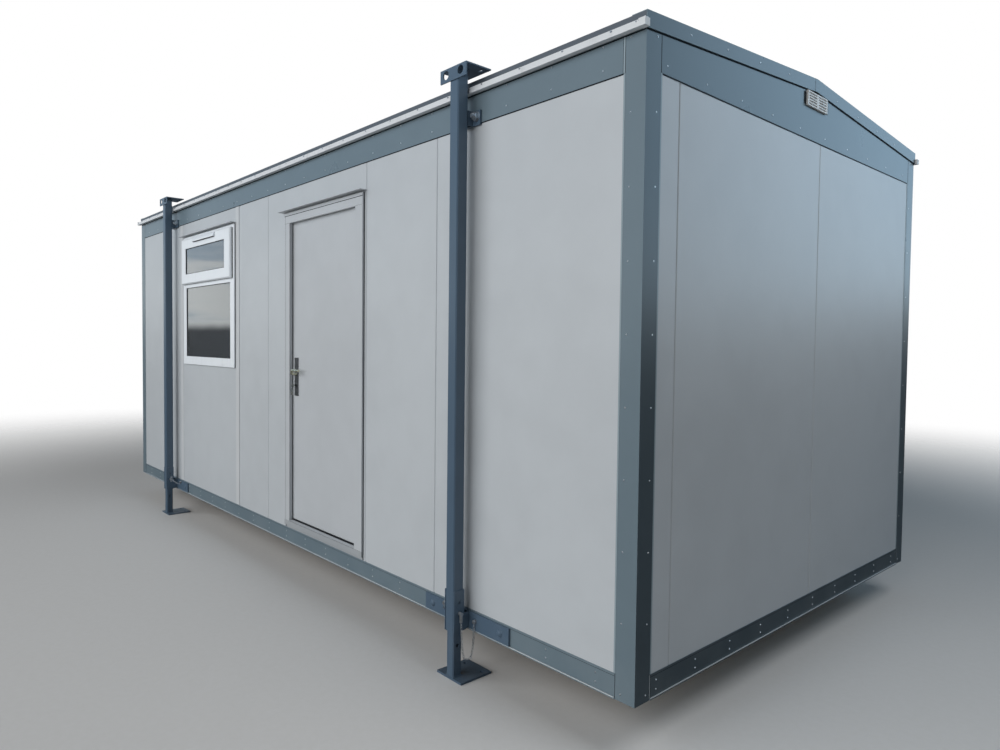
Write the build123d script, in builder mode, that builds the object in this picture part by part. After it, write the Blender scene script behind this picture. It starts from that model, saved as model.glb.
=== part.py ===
"""Portable site cabin: a steel-framed, panelled room with one door and one window,
carried on four telescopic jack legs with drilled lifting heads."""
import os

from build123d import *

os.makedirs("parts", exist_ok=True)

# Overall size. +X points to the visible gable, -Y to the door side, +Z up from the ground.
cabin_length = 6096.0
cabin_width = 2743.0
ground_clearance = 215.0
half_length = cabin_length / 2
half_width = cabin_width / 2

# Base frame and floor
rail_height = 98.0
rail_depth = 52.0
rail_steel = 4.0
rail_lip_height = 7.0
rail_lip_proud = 3.0
joist_width = 50.0
joist_pitch = 609.6
joist_count = 9
deck_thickness = 18.0

# Corner posts and walls
post_face = 92.0
post_steel = 4.0
panel_thickness = 50.0
panel_setback = 2.0
panel_module = 1219.2
front_first_seam = 1231.0
panel_gap = 1.0
seam_chamfer = 4.0
gable_first_seam = 217.0

# Top rails and roof
top_rail_height = 144.0
roof_thickness = 50.0
ridge_rise = 102.0
eave_overhang = 6.0
verge_overhang = 3.0
ceiling_thickness = 12.0
truss_thickness = 40.0
truss_pitch = 1219.2
truss_count = 5
capping_steel = 3.0
capping_drop = 62.0
capping_top_width = 64.0
gutter_size = 25.0
gutter_steel = 2.0
gutter_below_roof_top = 35.0
gutter_end_reach = 18.0
end_stop_length = 30.0
end_stop_size = 28.0
vent_width = 214.0
vent_height = 70.0
vent_depth = 10.0
vent_above_head = 153.0
louvre_rows = 5
louvre_columns = 2
louvre_width = 86.0
louvre_height = 7.0
louvre_pitch = 12.5
louvre_depth = 6.0

# Doorway, measured from the visible end of the cabin
door_right_edge = 1898.0
door_seam = 1878.0
door_frame_width = 974.0
door_frame_height = 2029.0
over_door_height = 164.0
lock_jamb = 72.0
hinge_jamb = 79.0
head_face = 68.0
frame_proud = 12.5
stop_thickness = 16.5
stop_overlap = 12.0
seal_gap = 10.5
leaf_play = 7.0
leaf_thickness = 42.0
leaf_floor_gap = 17.0
threshold_height = 52.0
threshold_packer = 20.0
threshold_stop = 9.0
middle_seam_share = 0.36
door_hood_reach = 45.0
door_hood_gap = 8.0
door_hood_overhang = 38.0
hood_steel = 3.0

# Hinges, locks and levers
hinge_count = 3
hinge_end_distance = 220.0
hinge_segment = 45.0
hinge_running_gap = 0.5
hinge_plate_thickness = 2.2
hinge_plate_width = 30.0
knuckle_radius = 7.0
knuckle_setback = 8.0
knuckle_clearance = 1.5
hinge_pin_radius = 4.0
hinge_bore_radius = 4.1
handle_from_edge = 66.0
handle_height = 1027.0
lock_plate_width = 44.0
lock_plate_height = 248.0
lock_plate_thickness = 6.0
lock_plate_above = 108.0
cylinder_drop = 72.0
cylinder_radius = 8.5
cylinder_proud = 6.0
spindle_size = 8.0
spindle_hole_radius = 6.5
lever_neck_radius = 9.0
lever_neck_gap = 0.5
lever_reach = 42.0
lever_arm_depth = 10.0
lever_arm_height = 20.0
lever_arm_length = 120.0

# Window, measured from the far end of the cabin and down from the top rail
window_left_edge = 1257.0
window_width = 1114.0
window_below_head = 128.0
window_height = 1081.0
window_member = 60.0
window_bead = 14.0
window_proud = 12.5
window_module_left = 1196.0
window_module_right = 2435.0
lower_glass_bottom = 67.0
lower_glass_height = 583.0
sash_width = 1064.0
sash_bottom = 680.0
sash_height = 380.0
sash_stile = 104.0
sash_rail = 82.0
sash_proud = 25.0
sash_chamfer = 8.0
sash_play = 3.0
sash_back = 35.0
transom_top = 713.0
glass_thickness = 24.0
glass_setback = 23.0
glass_edge = 10.0
trickle_length = 475.0
trickle_height = 30.0
trickle_depth = 15.0
trickle_below_sash_top = 10.0
window_hood_reach = 42.0
window_hood_gap = 12.0
window_hood_far_overhang = 31.0
window_hood_near_overhang = 3.0

# Jack legs
leg_from_near_end = 978.0
leg_from_far_end = 1025.0
leg_size = 60.0
leg_wall = 4.0
leg_corner = 5.0
leg_standoff = 40.0
leg_play = 0.8
inner_leg_overlap = 380.0
head_width = 185.0
head_depth = 147.0
head_drop = 60.0
head_steel = 6.0
head_above_eave = 99.0
lifting_hole_radius = 20.0
lifting_hole_spacing = 104.0
lifting_hole_below_top = 27.0
head_slot_length = 26.0
head_slot_width = 12.0
head_slot_from_back = 28.0
foot_width = 180.0
foot_depth = 185.0
foot_steel = 10.0
foot_front_margin = 5.0
foot_hole_radius = 9.0
foot_hole_spacing = 120.0
foot_hole_from_back = 38.0
top_bracket_width = 156.0
top_bracket_height = 66.0
top_bracket_below_head = 11.0
top_spacer_width = 56.0
bracket_steel = 10.0
spacer_wall = 5.0
base_bracket_width = 610.0
base_bracket_height = 86.0
base_bracket_lift = 4.0
cheek_steel = 5.0
cheek_height = 193.0
cheek_corner_radius = 28.0
leg_lift = 7.0
pin_hole_pitch = 51.0
pin_hole_steps = 3
pin_height = 95.0
pin_radius = 8.0
pin_hole_radius = 8.5
pin_reach = 22.0

# Levels and planes worked out from the sizes above
rail_bottom = ground_clearance
sill_level = rail_bottom + rail_height
wall_height = threshold_height + door_frame_height + over_door_height
head_level = sill_level + wall_height
eave_level = head_level + top_rail_height
pitch = ridge_rise / half_width
front = -half_width
front_inside = front + rail_depth
post_inner_x = half_length - post_face
post_inner_y = half_width - post_face


def from_near_end(distance):
    """X of a point on the front wall, measured from the visible end of the cabin."""
    return half_length - distance


def from_far_end(distance):
    """X of a point on the front wall, measured from the far end of the cabin."""
    return distance - half_length


def save(piece, name):
    """Label a finished piece and write it as one STEP file."""
    piece.label = name
    export_step(piece, f"parts/{name}.step")


def channel_profile(low, height, lip):
    """Section of a folded rail on the front wall: a web with two flanges turned inwards."""
    middle = low + height / 2
    with Locations((front + rail_depth / 2, middle)):
        Rectangle(rail_depth, height)
    with Locations((front + rail_depth / 2 + rail_steel, middle)):
        Rectangle(rail_depth, height - 2 * rail_steel, mode=Mode.SUBTRACT)
    if lip:
        with Locations((front - rail_lip_proud / 2, low + rail_lip_height / 2)):
            Rectangle(rail_lip_proud, rail_lip_height)


def panel_plan(start, end, chamfer_start, chamfer_end):
    """Plan of a front wall panel, with the outer corners at real seams taken off."""
    outer = front + panel_setback
    inner = outer + panel_thickness
    cut_start = seam_chamfer if chamfer_start else 0.0
    cut_end = seam_chamfer if chamfer_end else 0.0
    points = [(start, outer + cut_start), (start + cut_start, outer), (end - cut_end, outer)]
    points += [(end, outer + cut_end), (end, inner), (start, inner)]
    distinct = [p for i, p in enumerate(points) if p != points[i - 1]]
    Polygon(*distinct, align=None)


# Bottom rails
with BuildPart() as front_bottom_rail:
    with BuildSketch(Plane.YZ):
        channel_profile(rail_bottom, rail_height, True)
    extrude(amount=post_inner_x, both=True)
save(front_bottom_rail.part, "front_bottom_rail")

with BuildPart() as rear_bottom_rail:
    mirror(front_bottom_rail.part, about=Plane.XZ)
save(rear_bottom_rail.part, "rear_bottom_rail")

with BuildPart() as gable_bottom_rails:
    with BuildSketch(Plane.XZ):
        with Locations((half_length - rail_depth / 2, rail_bottom + rail_height / 2)):
            Rectangle(rail_depth, rail_height)
        with Locations((half_length - rail_depth / 2 - rail_steel, rail_bottom + rail_height / 2)):
            Rectangle(rail_depth, rail_height - 2 * rail_steel, mode=Mode.SUBTRACT)
        with Locations((half_length + rail_lip_proud / 2, rail_bottom + rail_lip_height / 2)):
            Rectangle(rail_lip_proud, rail_lip_height)
    extrude(amount=post_inner_y, both=True)
    mirror(about=Plane.YZ)
save(gable_bottom_rails.part, "gable_bottom_rails")

# Floor: joists seated in the long rails, and a deck inside the walls
joist_height = rail_height - 2 * rail_steel
joist_length = cabin_width - 2 * rail_steel
with BuildPart() as floor_joists:
    with BuildSketch(Plane.XY.offset(rail_bottom + rail_steel)):
        with GridLocations(joist_pitch, 0, joist_count, 1):
            Rectangle(joist_width, joist_length)
    extrude(amount=joist_height)
save(floor_joists.part, "floor_joists")

deck_length = cabin_length - 2 * rail_depth
deck_width = cabin_width - 2 * rail_depth
with BuildPart() as floor_deck:
    with BuildSketch(Plane.XY.offset(rail_bottom + rail_height - rail_steel)):
        Rectangle(deck_length, deck_width)
    extrude(amount=deck_thickness)
save(floor_deck.part, "floor_deck")

# Corner posts: hollow L-shaped posts, as deep as the walls
with BuildPart() as corner_posts:
    with BuildSketch(Plane.XY.offset(rail_bottom)):
        with BuildLine():
            Polyline(
                (half_length, front),
                (half_length, front + post_face),
                (half_length - rail_depth, front + post_face),
                (half_length - rail_depth, front_inside),
                (post_inner_x, front_inside),
                (post_inner_x, front),
                close=True,
            )
        make_face()
        offset(amount=-post_steel, kind=Kind.INTERSECTION, mode=Mode.SUBTRACT)
    extrude(amount=eave_level - rail_bottom)
    mirror(about=Plane.YZ)
    mirror(about=Plane.XZ)
save(corner_posts.part, "corner_posts")

# Front wall panels between the bottom and top rails
first_seam = from_near_end(front_first_seam)
door_right = from_near_end(door_right_edge)
door_left = door_right - door_frame_width
door_panel_right = from_near_end(door_seam)
window_panel_right = from_far_end(window_module_right)
window_panel_left = from_far_end(window_module_left)
door_panel_left = door_left - middle_seam_share * (door_left - window_panel_right)

with BuildPart() as front_wall_right:
    with BuildSketch(Plane.XY.offset(sill_level)):
        panel_plan(first_seam + panel_gap / 2, post_inner_x, True, False)
        panel_plan(door_panel_right + panel_gap / 2, first_seam - panel_gap / 2, True, True)
        panel_plan(door_right, door_panel_right - panel_gap / 2, False, True)
    extrude(amount=wall_height)
save(front_wall_right.part, "front_wall_right")

with BuildPart() as front_wall_middle:
    with BuildSketch(Plane.XY.offset(sill_level)):
        panel_plan(door_panel_left + panel_gap / 2, door_left, True, False)
        panel_plan(window_panel_right, door_panel_left - panel_gap / 2, True, True)
    extrude(amount=wall_height)
save(front_wall_middle.part, "front_wall_middle")

with BuildPart() as over_door_panel:
    with BuildSketch(Plane.XY.offset(head_level - over_door_height)):
        panel_plan(door_left, door_right, False, False)
    extrude(amount=over_door_height)
save(over_door_panel.part, "over_door_panel")

window_left = from_far_end(window_left_edge)
window_right = window_left + window_width
window_centre = (window_left + window_right) / 2
window_base = head_level - window_below_head - window_height
with BuildPart() as window_panel:
    with BuildSketch(Plane.XY.offset(sill_level)):
        panel_plan(window_panel_left, window_panel_right, True, True)
    extrude(amount=wall_height)
    with BuildSketch(Plane.XZ.offset(half_width)):
        with Locations((window_centre, window_base + window_height / 2)):
            Rectangle(window_width, window_height)
    extrude(amount=-2 * rail_depth, mode=Mode.SUBTRACT)
save(window_panel.part, "window_panel")

with BuildPart() as front_wall_left:
    with BuildSketch(Plane.XY.offset(sill_level)):
        panel_plan(-post_inner_x, window_panel_left, False, True)
    extrude(amount=wall_height)
save(front_wall_left.part, "front_wall_left")

# Rear wall: five panels on the 4 ft module
rear_panel_count = round(cabin_length / panel_module)
rear_seams = [panel_module * (i - rear_panel_count / 2) for i in range(1, rear_panel_count)]
rear_starts = [-post_inner_x] + [seam + panel_gap / 2 for seam in rear_seams]
rear_ends = [seam - panel_gap / 2 for seam in rear_seams] + [post_inner_x]
with BuildPart() as rear_wall:
    with BuildSketch(Plane.XY.offset(sill_level)) as rear_plan:
        for start, end in zip(rear_starts, rear_ends):
            panel_plan(start, end, start > -post_inner_x, end < post_inner_x)
        mirror(about=Plane.XZ, mode=Mode.REPLACE)
    extrude(amount=wall_height)
save(rear_wall.part, "rear_wall")

# Gable walls: a narrow make-up panel at the front corner, then two wide ones
gable_seams = [front + gable_first_seam, front + gable_first_seam + panel_module]
gable_starts = [-post_inner_y] + [seam + panel_gap / 2 for seam in gable_seams]
gable_ends = [seam - panel_gap / 2 for seam in gable_seams] + [post_inner_y]


def gable_panel_plan(start, end):
    """Plan of a gable wall panel, with its outer corners at the seams taken off."""
    outer = half_length - panel_setback
    inner = outer - panel_thickness
    cut_start = seam_chamfer if start > -post_inner_y else 0.0
    cut_end = seam_chamfer if end < post_inner_y else 0.0
    points = [(inner, start), (outer - cut_start, start), (outer, start + cut_start)]
    points += [(outer, end - cut_end), (outer - cut_end, end), (inner, end)]
    distinct = [p for i, p in enumerate(points) if p != points[i - 1]]
    Polygon(*distinct, align=None)


with BuildPart() as right_gable_wall:
    with BuildSketch(Plane.XY.offset(sill_level)):
        for start, end in zip(gable_starts, gable_ends):
            gable_panel_plan(start, end)
    extrude(amount=wall_height)
save(right_gable_wall.part, "right_gable_wall")

with BuildPart() as left_gable_wall:
    mirror(right_gable_wall.part, about=Plane.YZ)
save(left_gable_wall.part, "left_gable_wall")

# Top rails along the eaves
with BuildPart() as front_top_rail:
    with BuildSketch(Plane.YZ):
        channel_profile(head_level, top_rail_height, False)
    extrude(amount=post_inner_x, both=True)
save(front_top_rail.part, "front_top_rail")

with BuildPart() as rear_top_rail:
    mirror(front_top_rail.part, about=Plane.XZ)
save(rear_top_rail.part, "rear_top_rail")

# Gable beams: a pitched web under the roof, with a flange that the wall panels stand against
beam_end_rise = pitch * post_face
with BuildPart() as gable_beams:
    with BuildSketch(Plane.YZ.offset(half_length)):
        with BuildLine():
            Polyline(
                (-post_inner_y, head_level),
                (post_inner_y, head_level),
                (post_inner_y, eave_level + beam_end_rise),
                (0, eave_level + ridge_rise),
                (-post_inner_y, eave_level + beam_end_rise),
                close=True,
            )
        make_face()
    extrude(amount=-rail_steel)
    with BuildSketch(Plane.XY.offset(head_level)):
        with Locations((half_length - rail_depth / 2, 0)):
            Rectangle(rail_depth, 2 * post_inner_y)
    extrude(amount=rail_steel)
    mirror(about=Plane.YZ)
save(gable_beams.part, "gable_beams")

# Ceiling board on the lower flanges, notched round the posts
with BuildPart() as ceiling:
    with BuildSketch(Plane.XY.offset(head_level + rail_steel)):
        Rectangle(cabin_length - 2 * rail_steel, cabin_width - 2 * rail_steel)
        with GridLocations(cabin_length - post_face, cabin_width - post_face, 2, 2):
            Rectangle(post_face, post_face, mode=Mode.SUBTRACT)
    extrude(amount=ceiling_thickness)
save(ceiling.part, "ceiling")

# Roof trusses between the ceiling and the roof slopes
truss_bottom = head_level + rail_steel + ceiling_thickness
truss_end = half_width - rail_depth
truss_end_top = eave_level + pitch * rail_depth
with BuildPart() as roof_trusses:
    for index in range(truss_count):
        station = truss_pitch * (index - (truss_count - 1) / 2)
        with BuildSketch(Plane.YZ.offset(station)):
            with BuildLine():
                Polyline(
                    (-truss_end, truss_bottom),
                    (truss_end, truss_bottom),
                    (truss_end, truss_end_top),
                    (0, eave_level + ridge_rise),
                    (-truss_end, truss_end_top),
                    close=True,
                )
            make_face()
        extrude(amount=truss_thickness / 2, both=True)
save(roof_trusses.part, "roof_trusses")

# Roof slopes: insulated slabs that meet at the ridge and just oversail the walls
roof_half_length = half_length + verge_overhang
eave_y = front - eave_overhang
eave_drop = pitch * eave_overhang
with BuildPart() as roof_front_slope:
    with BuildSketch(Plane.YZ):
        with BuildLine():
            Polyline(
                (eave_y, eave_level - eave_drop),
                (0, eave_level + ridge_rise),
                (0, eave_level + ridge_rise + roof_thickness),
                (eave_y, eave_level - eave_drop + roof_thickness),
                close=True,
            )
        make_face()
    extrude(amount=roof_half_length, both=True)
save(roof_front_slope.part, "roof_front_slope")

with BuildPart() as roof_rear_slope:
    mirror(roof_front_slope.part, about=Plane.XZ)
save(roof_rear_slope.part, "roof_rear_slope")

# Verge cappings: folded flashings over the roof edge and down the gable
roof_top_eave = eave_level - eave_drop + roof_thickness
roof_top_ridge = eave_level + ridge_rise + roof_thickness


def capping_outline(top_lift, drop):
    """Front elevation of a capping: a pitched band that follows the roof."""
    eave_top = roof_top_eave + top_lift
    ridge_top = roof_top_ridge + top_lift
    points = [(eave_y, eave_top), (0, ridge_top), (-eave_y, eave_top)]
    points += [(-eave_y, eave_top - drop), (0, ridge_top - drop), (eave_y, eave_top - drop)]
    Polygon(*points, align=None)


with BuildPart() as verge_cappings:
    with BuildSketch(Plane.YZ.offset(roof_half_length)):
        capping_outline(capping_steel, capping_drop)
    extrude(amount=capping_steel)
    with BuildSketch(Plane.YZ.offset(roof_half_length)):
        capping_outline(capping_steel, capping_steel)
    extrude(amount=-capping_top_width)
    mirror(about=Plane.YZ)
save(verge_cappings.part, "verge_cappings")

# Gutters: small channels under the roof edge, closed by thicker end stops
gutter_top = eave_level + roof_thickness - gutter_below_roof_top
gutter_half_length = half_length + gutter_end_reach - end_stop_length
gutter_y = eave_y - gutter_size / 2
with BuildPart() as gutters:
    with BuildSketch(Plane.YZ):
        with Locations((gutter_y, gutter_top - gutter_size / 2)):
            Rectangle(gutter_size, gutter_size)
        with Locations((gutter_y, gutter_top - gutter_size / 2 + gutter_steel)):
            Rectangle(gutter_size - 2 * gutter_steel, gutter_size, mode=Mode.SUBTRACT)
    extrude(amount=gutter_half_length, both=True)
    with BuildSketch(Plane.YZ.offset(gutter_half_length)):
        with Locations((eave_y - end_stop_size / 2, gutter_top - gutter_size / 2)):
            Rectangle(end_stop_size, end_stop_size)
    extrude(amount=end_stop_length)
    with BuildSketch(Plane.YZ.offset(-gutter_half_length)):
        with Locations((eave_y - end_stop_size / 2, gutter_top - gutter_size / 2)):
            Rectangle(end_stop_size, end_stop_size)
    extrude(amount=-end_stop_length)
    mirror(about=Plane.XZ)
save(gutters.part, "gutters")

# Gable vents: plates with louvres in two columns, below the ridge
with BuildPart() as gable_vents:
    with BuildSketch(Plane.YZ.offset(half_length)):
        with Locations((0, head_level + vent_above_head + vent_height / 2)):
            Rectangle(vent_width, vent_height)
    extrude(amount=vent_depth)
    with BuildSketch(Plane.YZ.offset(half_length + vent_depth)):
        with Locations((0, head_level + vent_above_head + vent_height / 2)):
            with GridLocations(vent_width / 2 - gutter_steel, louvre_pitch, louvre_columns, louvre_rows):
                Rectangle(louvre_width, louvre_height)
    extrude(amount=-louvre_depth, mode=Mode.SUBTRACT)
    mirror(about=Plane.YZ)
save(gable_vents.part, "gable_vents")

# Door frame: jambs and head with a stop lip in front of the leaf
frame_base = sill_level + threshold_height
frame_top = frame_base + door_frame_height
frame_front = front - frame_proud
stop_back = frame_front + stop_thickness
opening_left = door_left + lock_jamb
opening_right = door_right - hinge_jamb
opening_top = frame_top - head_face
leaf_left = opening_left - stop_overlap
leaf_right = opening_right + stop_overlap
leaf_top = opening_top + stop_overlap
leaf_bottom = frame_base + leaf_floor_gap
leaf_front = stop_back + seal_gap
leaf_back = leaf_front + leaf_thickness
rebate_right = leaf_right + leaf_play
rebate_left = leaf_left - leaf_play
rebate_top = leaf_top + leaf_play

with BuildPart() as door_frame:
    with BuildSketch(Plane.XZ.offset(-frame_front)):
        with Locations(((door_left + door_right) / 2, (frame_base + frame_top) / 2)):
            Rectangle(door_frame_width, door_frame_height)
        with Locations(((opening_left + opening_right) / 2, (frame_base + opening_top) / 2)):
            Rectangle(opening_right - opening_left, opening_top - frame_base, mode=Mode.SUBTRACT)
    extrude(amount=-(leaf_back - frame_front))
    with BuildSketch(Plane.XZ.offset(-stop_back)):
        with Locations(((rebate_left + rebate_right) / 2, (frame_base + rebate_top) / 2)):
            Rectangle(rebate_right - rebate_left, rebate_top - frame_base)
    extrude(amount=-(leaf_back - stop_back), mode=Mode.SUBTRACT)
save(door_frame.part, "door_frame")

# Threshold: the bottom member of the frame on a packer, with a sloping stop between the jambs
packer_front = front + panel_setback
packer_top = sill_level + threshold_packer
with BuildPart() as door_threshold:
    with BuildSketch(Plane.YZ.offset(door_left)):
        with BuildLine():
            Polyline(
                (packer_front, sill_level),
                (packer_front, packer_top),
                (frame_front, packer_top),
                (frame_front, frame_base),
                (leaf_back, frame_base),
                (leaf_back, sill_level + deck_thickness),
                (front_inside, sill_level + deck_thickness),
                (front_inside, sill_level),
                close=True,
            )
        make_face()
    extrude(amount=door_frame_width)
    with BuildSketch(Plane.YZ.offset(opening_left)):
        with BuildLine():
            Polyline(
                (frame_front, frame_base),
                (stop_back, frame_base),
                (stop_back, frame_base + threshold_stop),
                close=True,
            )
        make_face()
    extrude(amount=opening_right - opening_left)
save(door_threshold.part, "door_threshold")


def hood(left, right, underside, reach):
    """A rain hood: a flat sheet that stands out from the wall face."""
    wall = front + panel_setback
    with BuildSketch(Plane.XY.offset(underside)) as plan:
        with Locations(((left + right) / 2, (wall + front - reach) / 2)):
            Rectangle(right - left, wall - front + reach)
    extrude(plan.sketch, amount=hood_steel)


with BuildPart() as door_hood:
    hood(door_left - door_hood_overhang, door_panel_right, frame_top + door_hood_gap, door_hood_reach)
save(door_hood.part, "door_hood")

# Door leaf, with holes for the spindle and the lock cylinder
handle_x = leaf_left + handle_from_edge
handle_z = sill_level + handle_height
cylinder_z = handle_z - cylinder_drop
with BuildPart() as door_leaf:
    with BuildSketch(Plane.XZ.offset(-leaf_front)):
        with Locations(((leaf_left + leaf_right) / 2, (leaf_bottom + leaf_top) / 2)):
            Rectangle(leaf_right - leaf_left, leaf_top - leaf_bottom)
        with Locations((handle_x, handle_z)):
            Circle(spindle_hole_radius, mode=Mode.SUBTRACT)
        with Locations((handle_x, cylinder_z)):
            Circle(cylinder_radius, mode=Mode.SUBTRACT)
    extrude(amount=-leaf_thickness)
save(door_leaf.part, "door_leaf")

# Lock plates inside and outside, joined by the cylinder
plate_centre_z = handle_z + lock_plate_above - lock_plate_height / 2
with BuildPart() as door_lock:
    for face, outward in ((leaf_front, 1), (leaf_back, -1)):
        with BuildSketch(Plane.XZ.offset(-face)):
            with Locations((handle_x, plate_centre_z)):
                Rectangle(lock_plate_width, lock_plate_height)
            with Locations((handle_x, handle_z)):
                Circle(spindle_hole_radius, mode=Mode.SUBTRACT)
        extrude(amount=outward * lock_plate_thickness)
    with BuildSketch(Plane.XZ.offset(-leaf_front + lock_plate_thickness + cylinder_proud)):
        with Locations((handle_x, cylinder_z)):
            Circle(cylinder_radius)
    extrude(amount=-(leaf_thickness + 2 * lock_plate_thickness + 2 * cylinder_proud))
save(door_lock.part, "door_lock")

# Lever handles on one spindle
lever_start = lock_plate_thickness + lever_neck_gap
with BuildPart() as door_levers:
    for face, outward in ((leaf_front, 1), (leaf_back, -1)):
        with BuildSketch(Plane.XZ.offset(-face + outward * lever_start)):
            with Locations((handle_x, handle_z)):
                Circle(lever_neck_radius)
        extrude(amount=outward * lever_reach)
        with BuildSketch(Plane.XZ.offset(-face + outward * (lever_start + lever_reach - lever_arm_depth))):
            with Locations((handle_x + (lever_arm_length - lever_arm_height) / 2, handle_z)):
                SlotOverall(lever_arm_length, lever_arm_height)
        extrude(amount=outward * lever_arm_depth)
    with BuildSketch(Plane.XZ.offset(-leaf_front + lever_start)):
        with Locations((handle_x, handle_z)):
            Rectangle(spindle_size, spindle_size)
    extrude(amount=-(leaf_thickness + 2 * lever_start))
save(door_levers.part, "door_levers")

# Lift-off hinges: lower knuckles and pins on the frame, upper knuckles on the door
pivot_x = (leaf_right + rebate_right) / 2
pivot_y = leaf_back + knuckle_setback
hinge_height = 2 * hinge_segment + hinge_running_gap
hinge_first = leaf_bottom + hinge_end_distance
hinge_last = leaf_top - hinge_end_distance - hinge_height
hinge_step = (hinge_last - hinge_first) / (hinge_count - 1)
hinge_levels = [hinge_first + hinge_step * i for i in range(hinge_count)]
plate_outer = pivot_y - knuckle_radius - knuckle_clearance
plate_inner = plate_outer - hinge_plate_width
upper_knuckle_rise = hinge_segment + hinge_running_gap


def hinge_block(low, height, x_start, x_end, y_start, y_end):
    """A flat piece of a hinge leaf, given by its corners in plan and its height."""
    with BuildSketch(Plane.XY.offset(low)) as plan:
        with Locations(((x_start + x_end) / 2, (y_start + y_end) / 2)):
            Rectangle(x_end - x_start, y_end - y_start)
    extrude(plan.sketch, amount=height)


with BuildPart() as hinge_frame_halves:
    plate_left = rebate_right - hinge_plate_thickness
    for level in hinge_levels:
        hinge_block(level, hinge_height, plate_left, rebate_right, plate_inner, plate_outer)
        hinge_block(level, hinge_segment, plate_left, rebate_right, plate_outer, pivot_y)
        with BuildSketch(Plane.XY.offset(level)):
            with Locations((pivot_x, pivot_y)):
                Circle(knuckle_radius)
        extrude(amount=hinge_segment)
        with BuildSketch(Plane.XY.offset(level + hinge_segment)):
            with Locations((pivot_x, pivot_y)):
                Circle(hinge_pin_radius)
        extrude(amount=upper_knuckle_rise)
save(hinge_frame_halves.part, "hinge_frame_halves")

with BuildPart() as hinge_door_halves:
    plate_right = leaf_right + hinge_plate_thickness
    for level in hinge_levels:
        upper = level + upper_knuckle_rise
        hinge_block(level, hinge_height, leaf_right, plate_right, plate_inner, plate_outer)
        hinge_block(upper, hinge_segment, leaf_right, plate_right, plate_outer, pivot_y)
        with BuildSketch(Plane.XY.offset(upper)):
            with Locations((pivot_x, pivot_y)):
                Circle(knuckle_radius)
        extrude(amount=hinge_segment)
        with BuildSketch(Plane.XY.offset(upper)):
            with Locations((pivot_x, pivot_y)):
                Circle(hinge_bore_radius)
        extrude(amount=hinge_segment, mode=Mode.SUBTRACT)
save(hinge_door_halves.part, "hinge_door_halves")

# Window frame: a fixed light below a transom, and an opening for the sash above
window_front = front - window_proud
window_back = front_inside
window_top = window_base + window_height
lower_low = window_base + lower_glass_bottom
lower_middle = lower_low + lower_glass_height / 2
lower_width = window_width - 2 * (window_member + window_bead)
sash_opening_low = window_base + transom_top
sash_opening_high = window_top - window_member
sash_opening_middle = (sash_opening_low + sash_opening_high) / 2
sash_opening_height = sash_opening_high - sash_opening_low
sash_opening_width = window_width - 2 * window_member
lower_pane_front = window_front + glass_setback

with BuildPart() as window_frame:
    with BuildSketch(Plane.XZ.offset(-window_front)):
        with Locations((window_centre, window_base + window_height / 2)):
            Rectangle(window_width, window_height)
        with Locations((window_centre, lower_middle)):
            Rectangle(lower_width, lower_glass_height, mode=Mode.SUBTRACT)
        with Locations((window_centre, sash_opening_middle)):
            Rectangle(sash_opening_width, sash_opening_height, mode=Mode.SUBTRACT)
    extrude(amount=-(window_back - window_front))
    with BuildSketch(Plane.XZ.offset(-lower_pane_front)):
        with Locations((window_centre, lower_middle)):
            Rectangle(lower_width + 2 * glass_edge, lower_glass_height + 2 * glass_edge)
    extrude(amount=-glass_thickness, mode=Mode.SUBTRACT)
save(window_frame.part, "window_frame")

# Top-hung sash, lapping the front of the frame
sash_low = window_base + sash_bottom
sash_middle = sash_low + sash_height / 2
sash_front = window_front - sash_proud
sash_glass_width = sash_width - 2 * sash_stile
sash_glass_height = sash_height - 2 * sash_rail
upper_pane_front = sash_front + glass_setback
with BuildPart() as window_sash:
    with BuildSketch(Plane.XZ.offset(-sash_front)):
        with Locations((window_centre, sash_middle)):
            Rectangle(sash_width, sash_height)
    extrude(amount=-sash_proud)
    chamfer(faces().sort_by(Axis.Y)[0].edges(), sash_chamfer)
    with BuildSketch(Plane.XZ.offset(-window_front)):
        with Locations((window_centre, sash_opening_middle)):
            Rectangle(sash_opening_width - 2 * sash_play, sash_opening_height - 2 * sash_play)
    extrude(amount=-(window_proud + sash_back))
    with BuildSketch(Plane.XZ.offset(-sash_front)):
        with Locations((window_centre, sash_middle)):
            Rectangle(sash_glass_width, sash_glass_height)
    extrude(amount=-(sash_proud + window_proud + sash_back), mode=Mode.SUBTRACT)
    with BuildSketch(Plane.XZ.offset(-upper_pane_front)):
        with Locations((window_centre, sash_middle)):
            Rectangle(sash_glass_width + 2 * glass_edge, sash_glass_height + 2 * glass_edge)
    extrude(amount=-glass_thickness, mode=Mode.SUBTRACT)
save(window_sash.part, "window_sash")

with BuildPart() as window_panes:
    with BuildSketch(Plane.XZ.offset(-lower_pane_front)):
        with Locations((window_centre, lower_middle)):
            Rectangle(lower_width + 2 * glass_edge, lower_glass_height + 2 * glass_edge)
    extrude(amount=-glass_thickness)
    with BuildSketch(Plane.XZ.offset(-upper_pane_front)):
        with Locations((window_centre, sash_middle)):
            Rectangle(sash_glass_width + 2 * glass_edge, sash_glass_height + 2 * glass_edge)
    extrude(amount=-glass_thickness)
save(window_panes.part, "window_panes")

# Trickle vent on the top member of the sash, a hood with a sloping front
trickle_top = sash_low + sash_height - trickle_below_sash_top
with BuildPart() as trickle_vent:
    with BuildSketch(Plane.YZ.offset(window_centre)):
        with BuildLine():
            Polyline(
                (sash_front, trickle_top),
                (sash_front - trickle_depth / 3, trickle_top),
                (sash_front - trickle_depth, trickle_top - trickle_height * 2 / 3),
                (sash_front - trickle_depth, trickle_top - trickle_height),
                (sash_front, trickle_top - trickle_height),
                close=True,
            )
        make_face()
    extrude(amount=trickle_length / 2, both=True)
save(trickle_vent.part, "trickle_vent")

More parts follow.
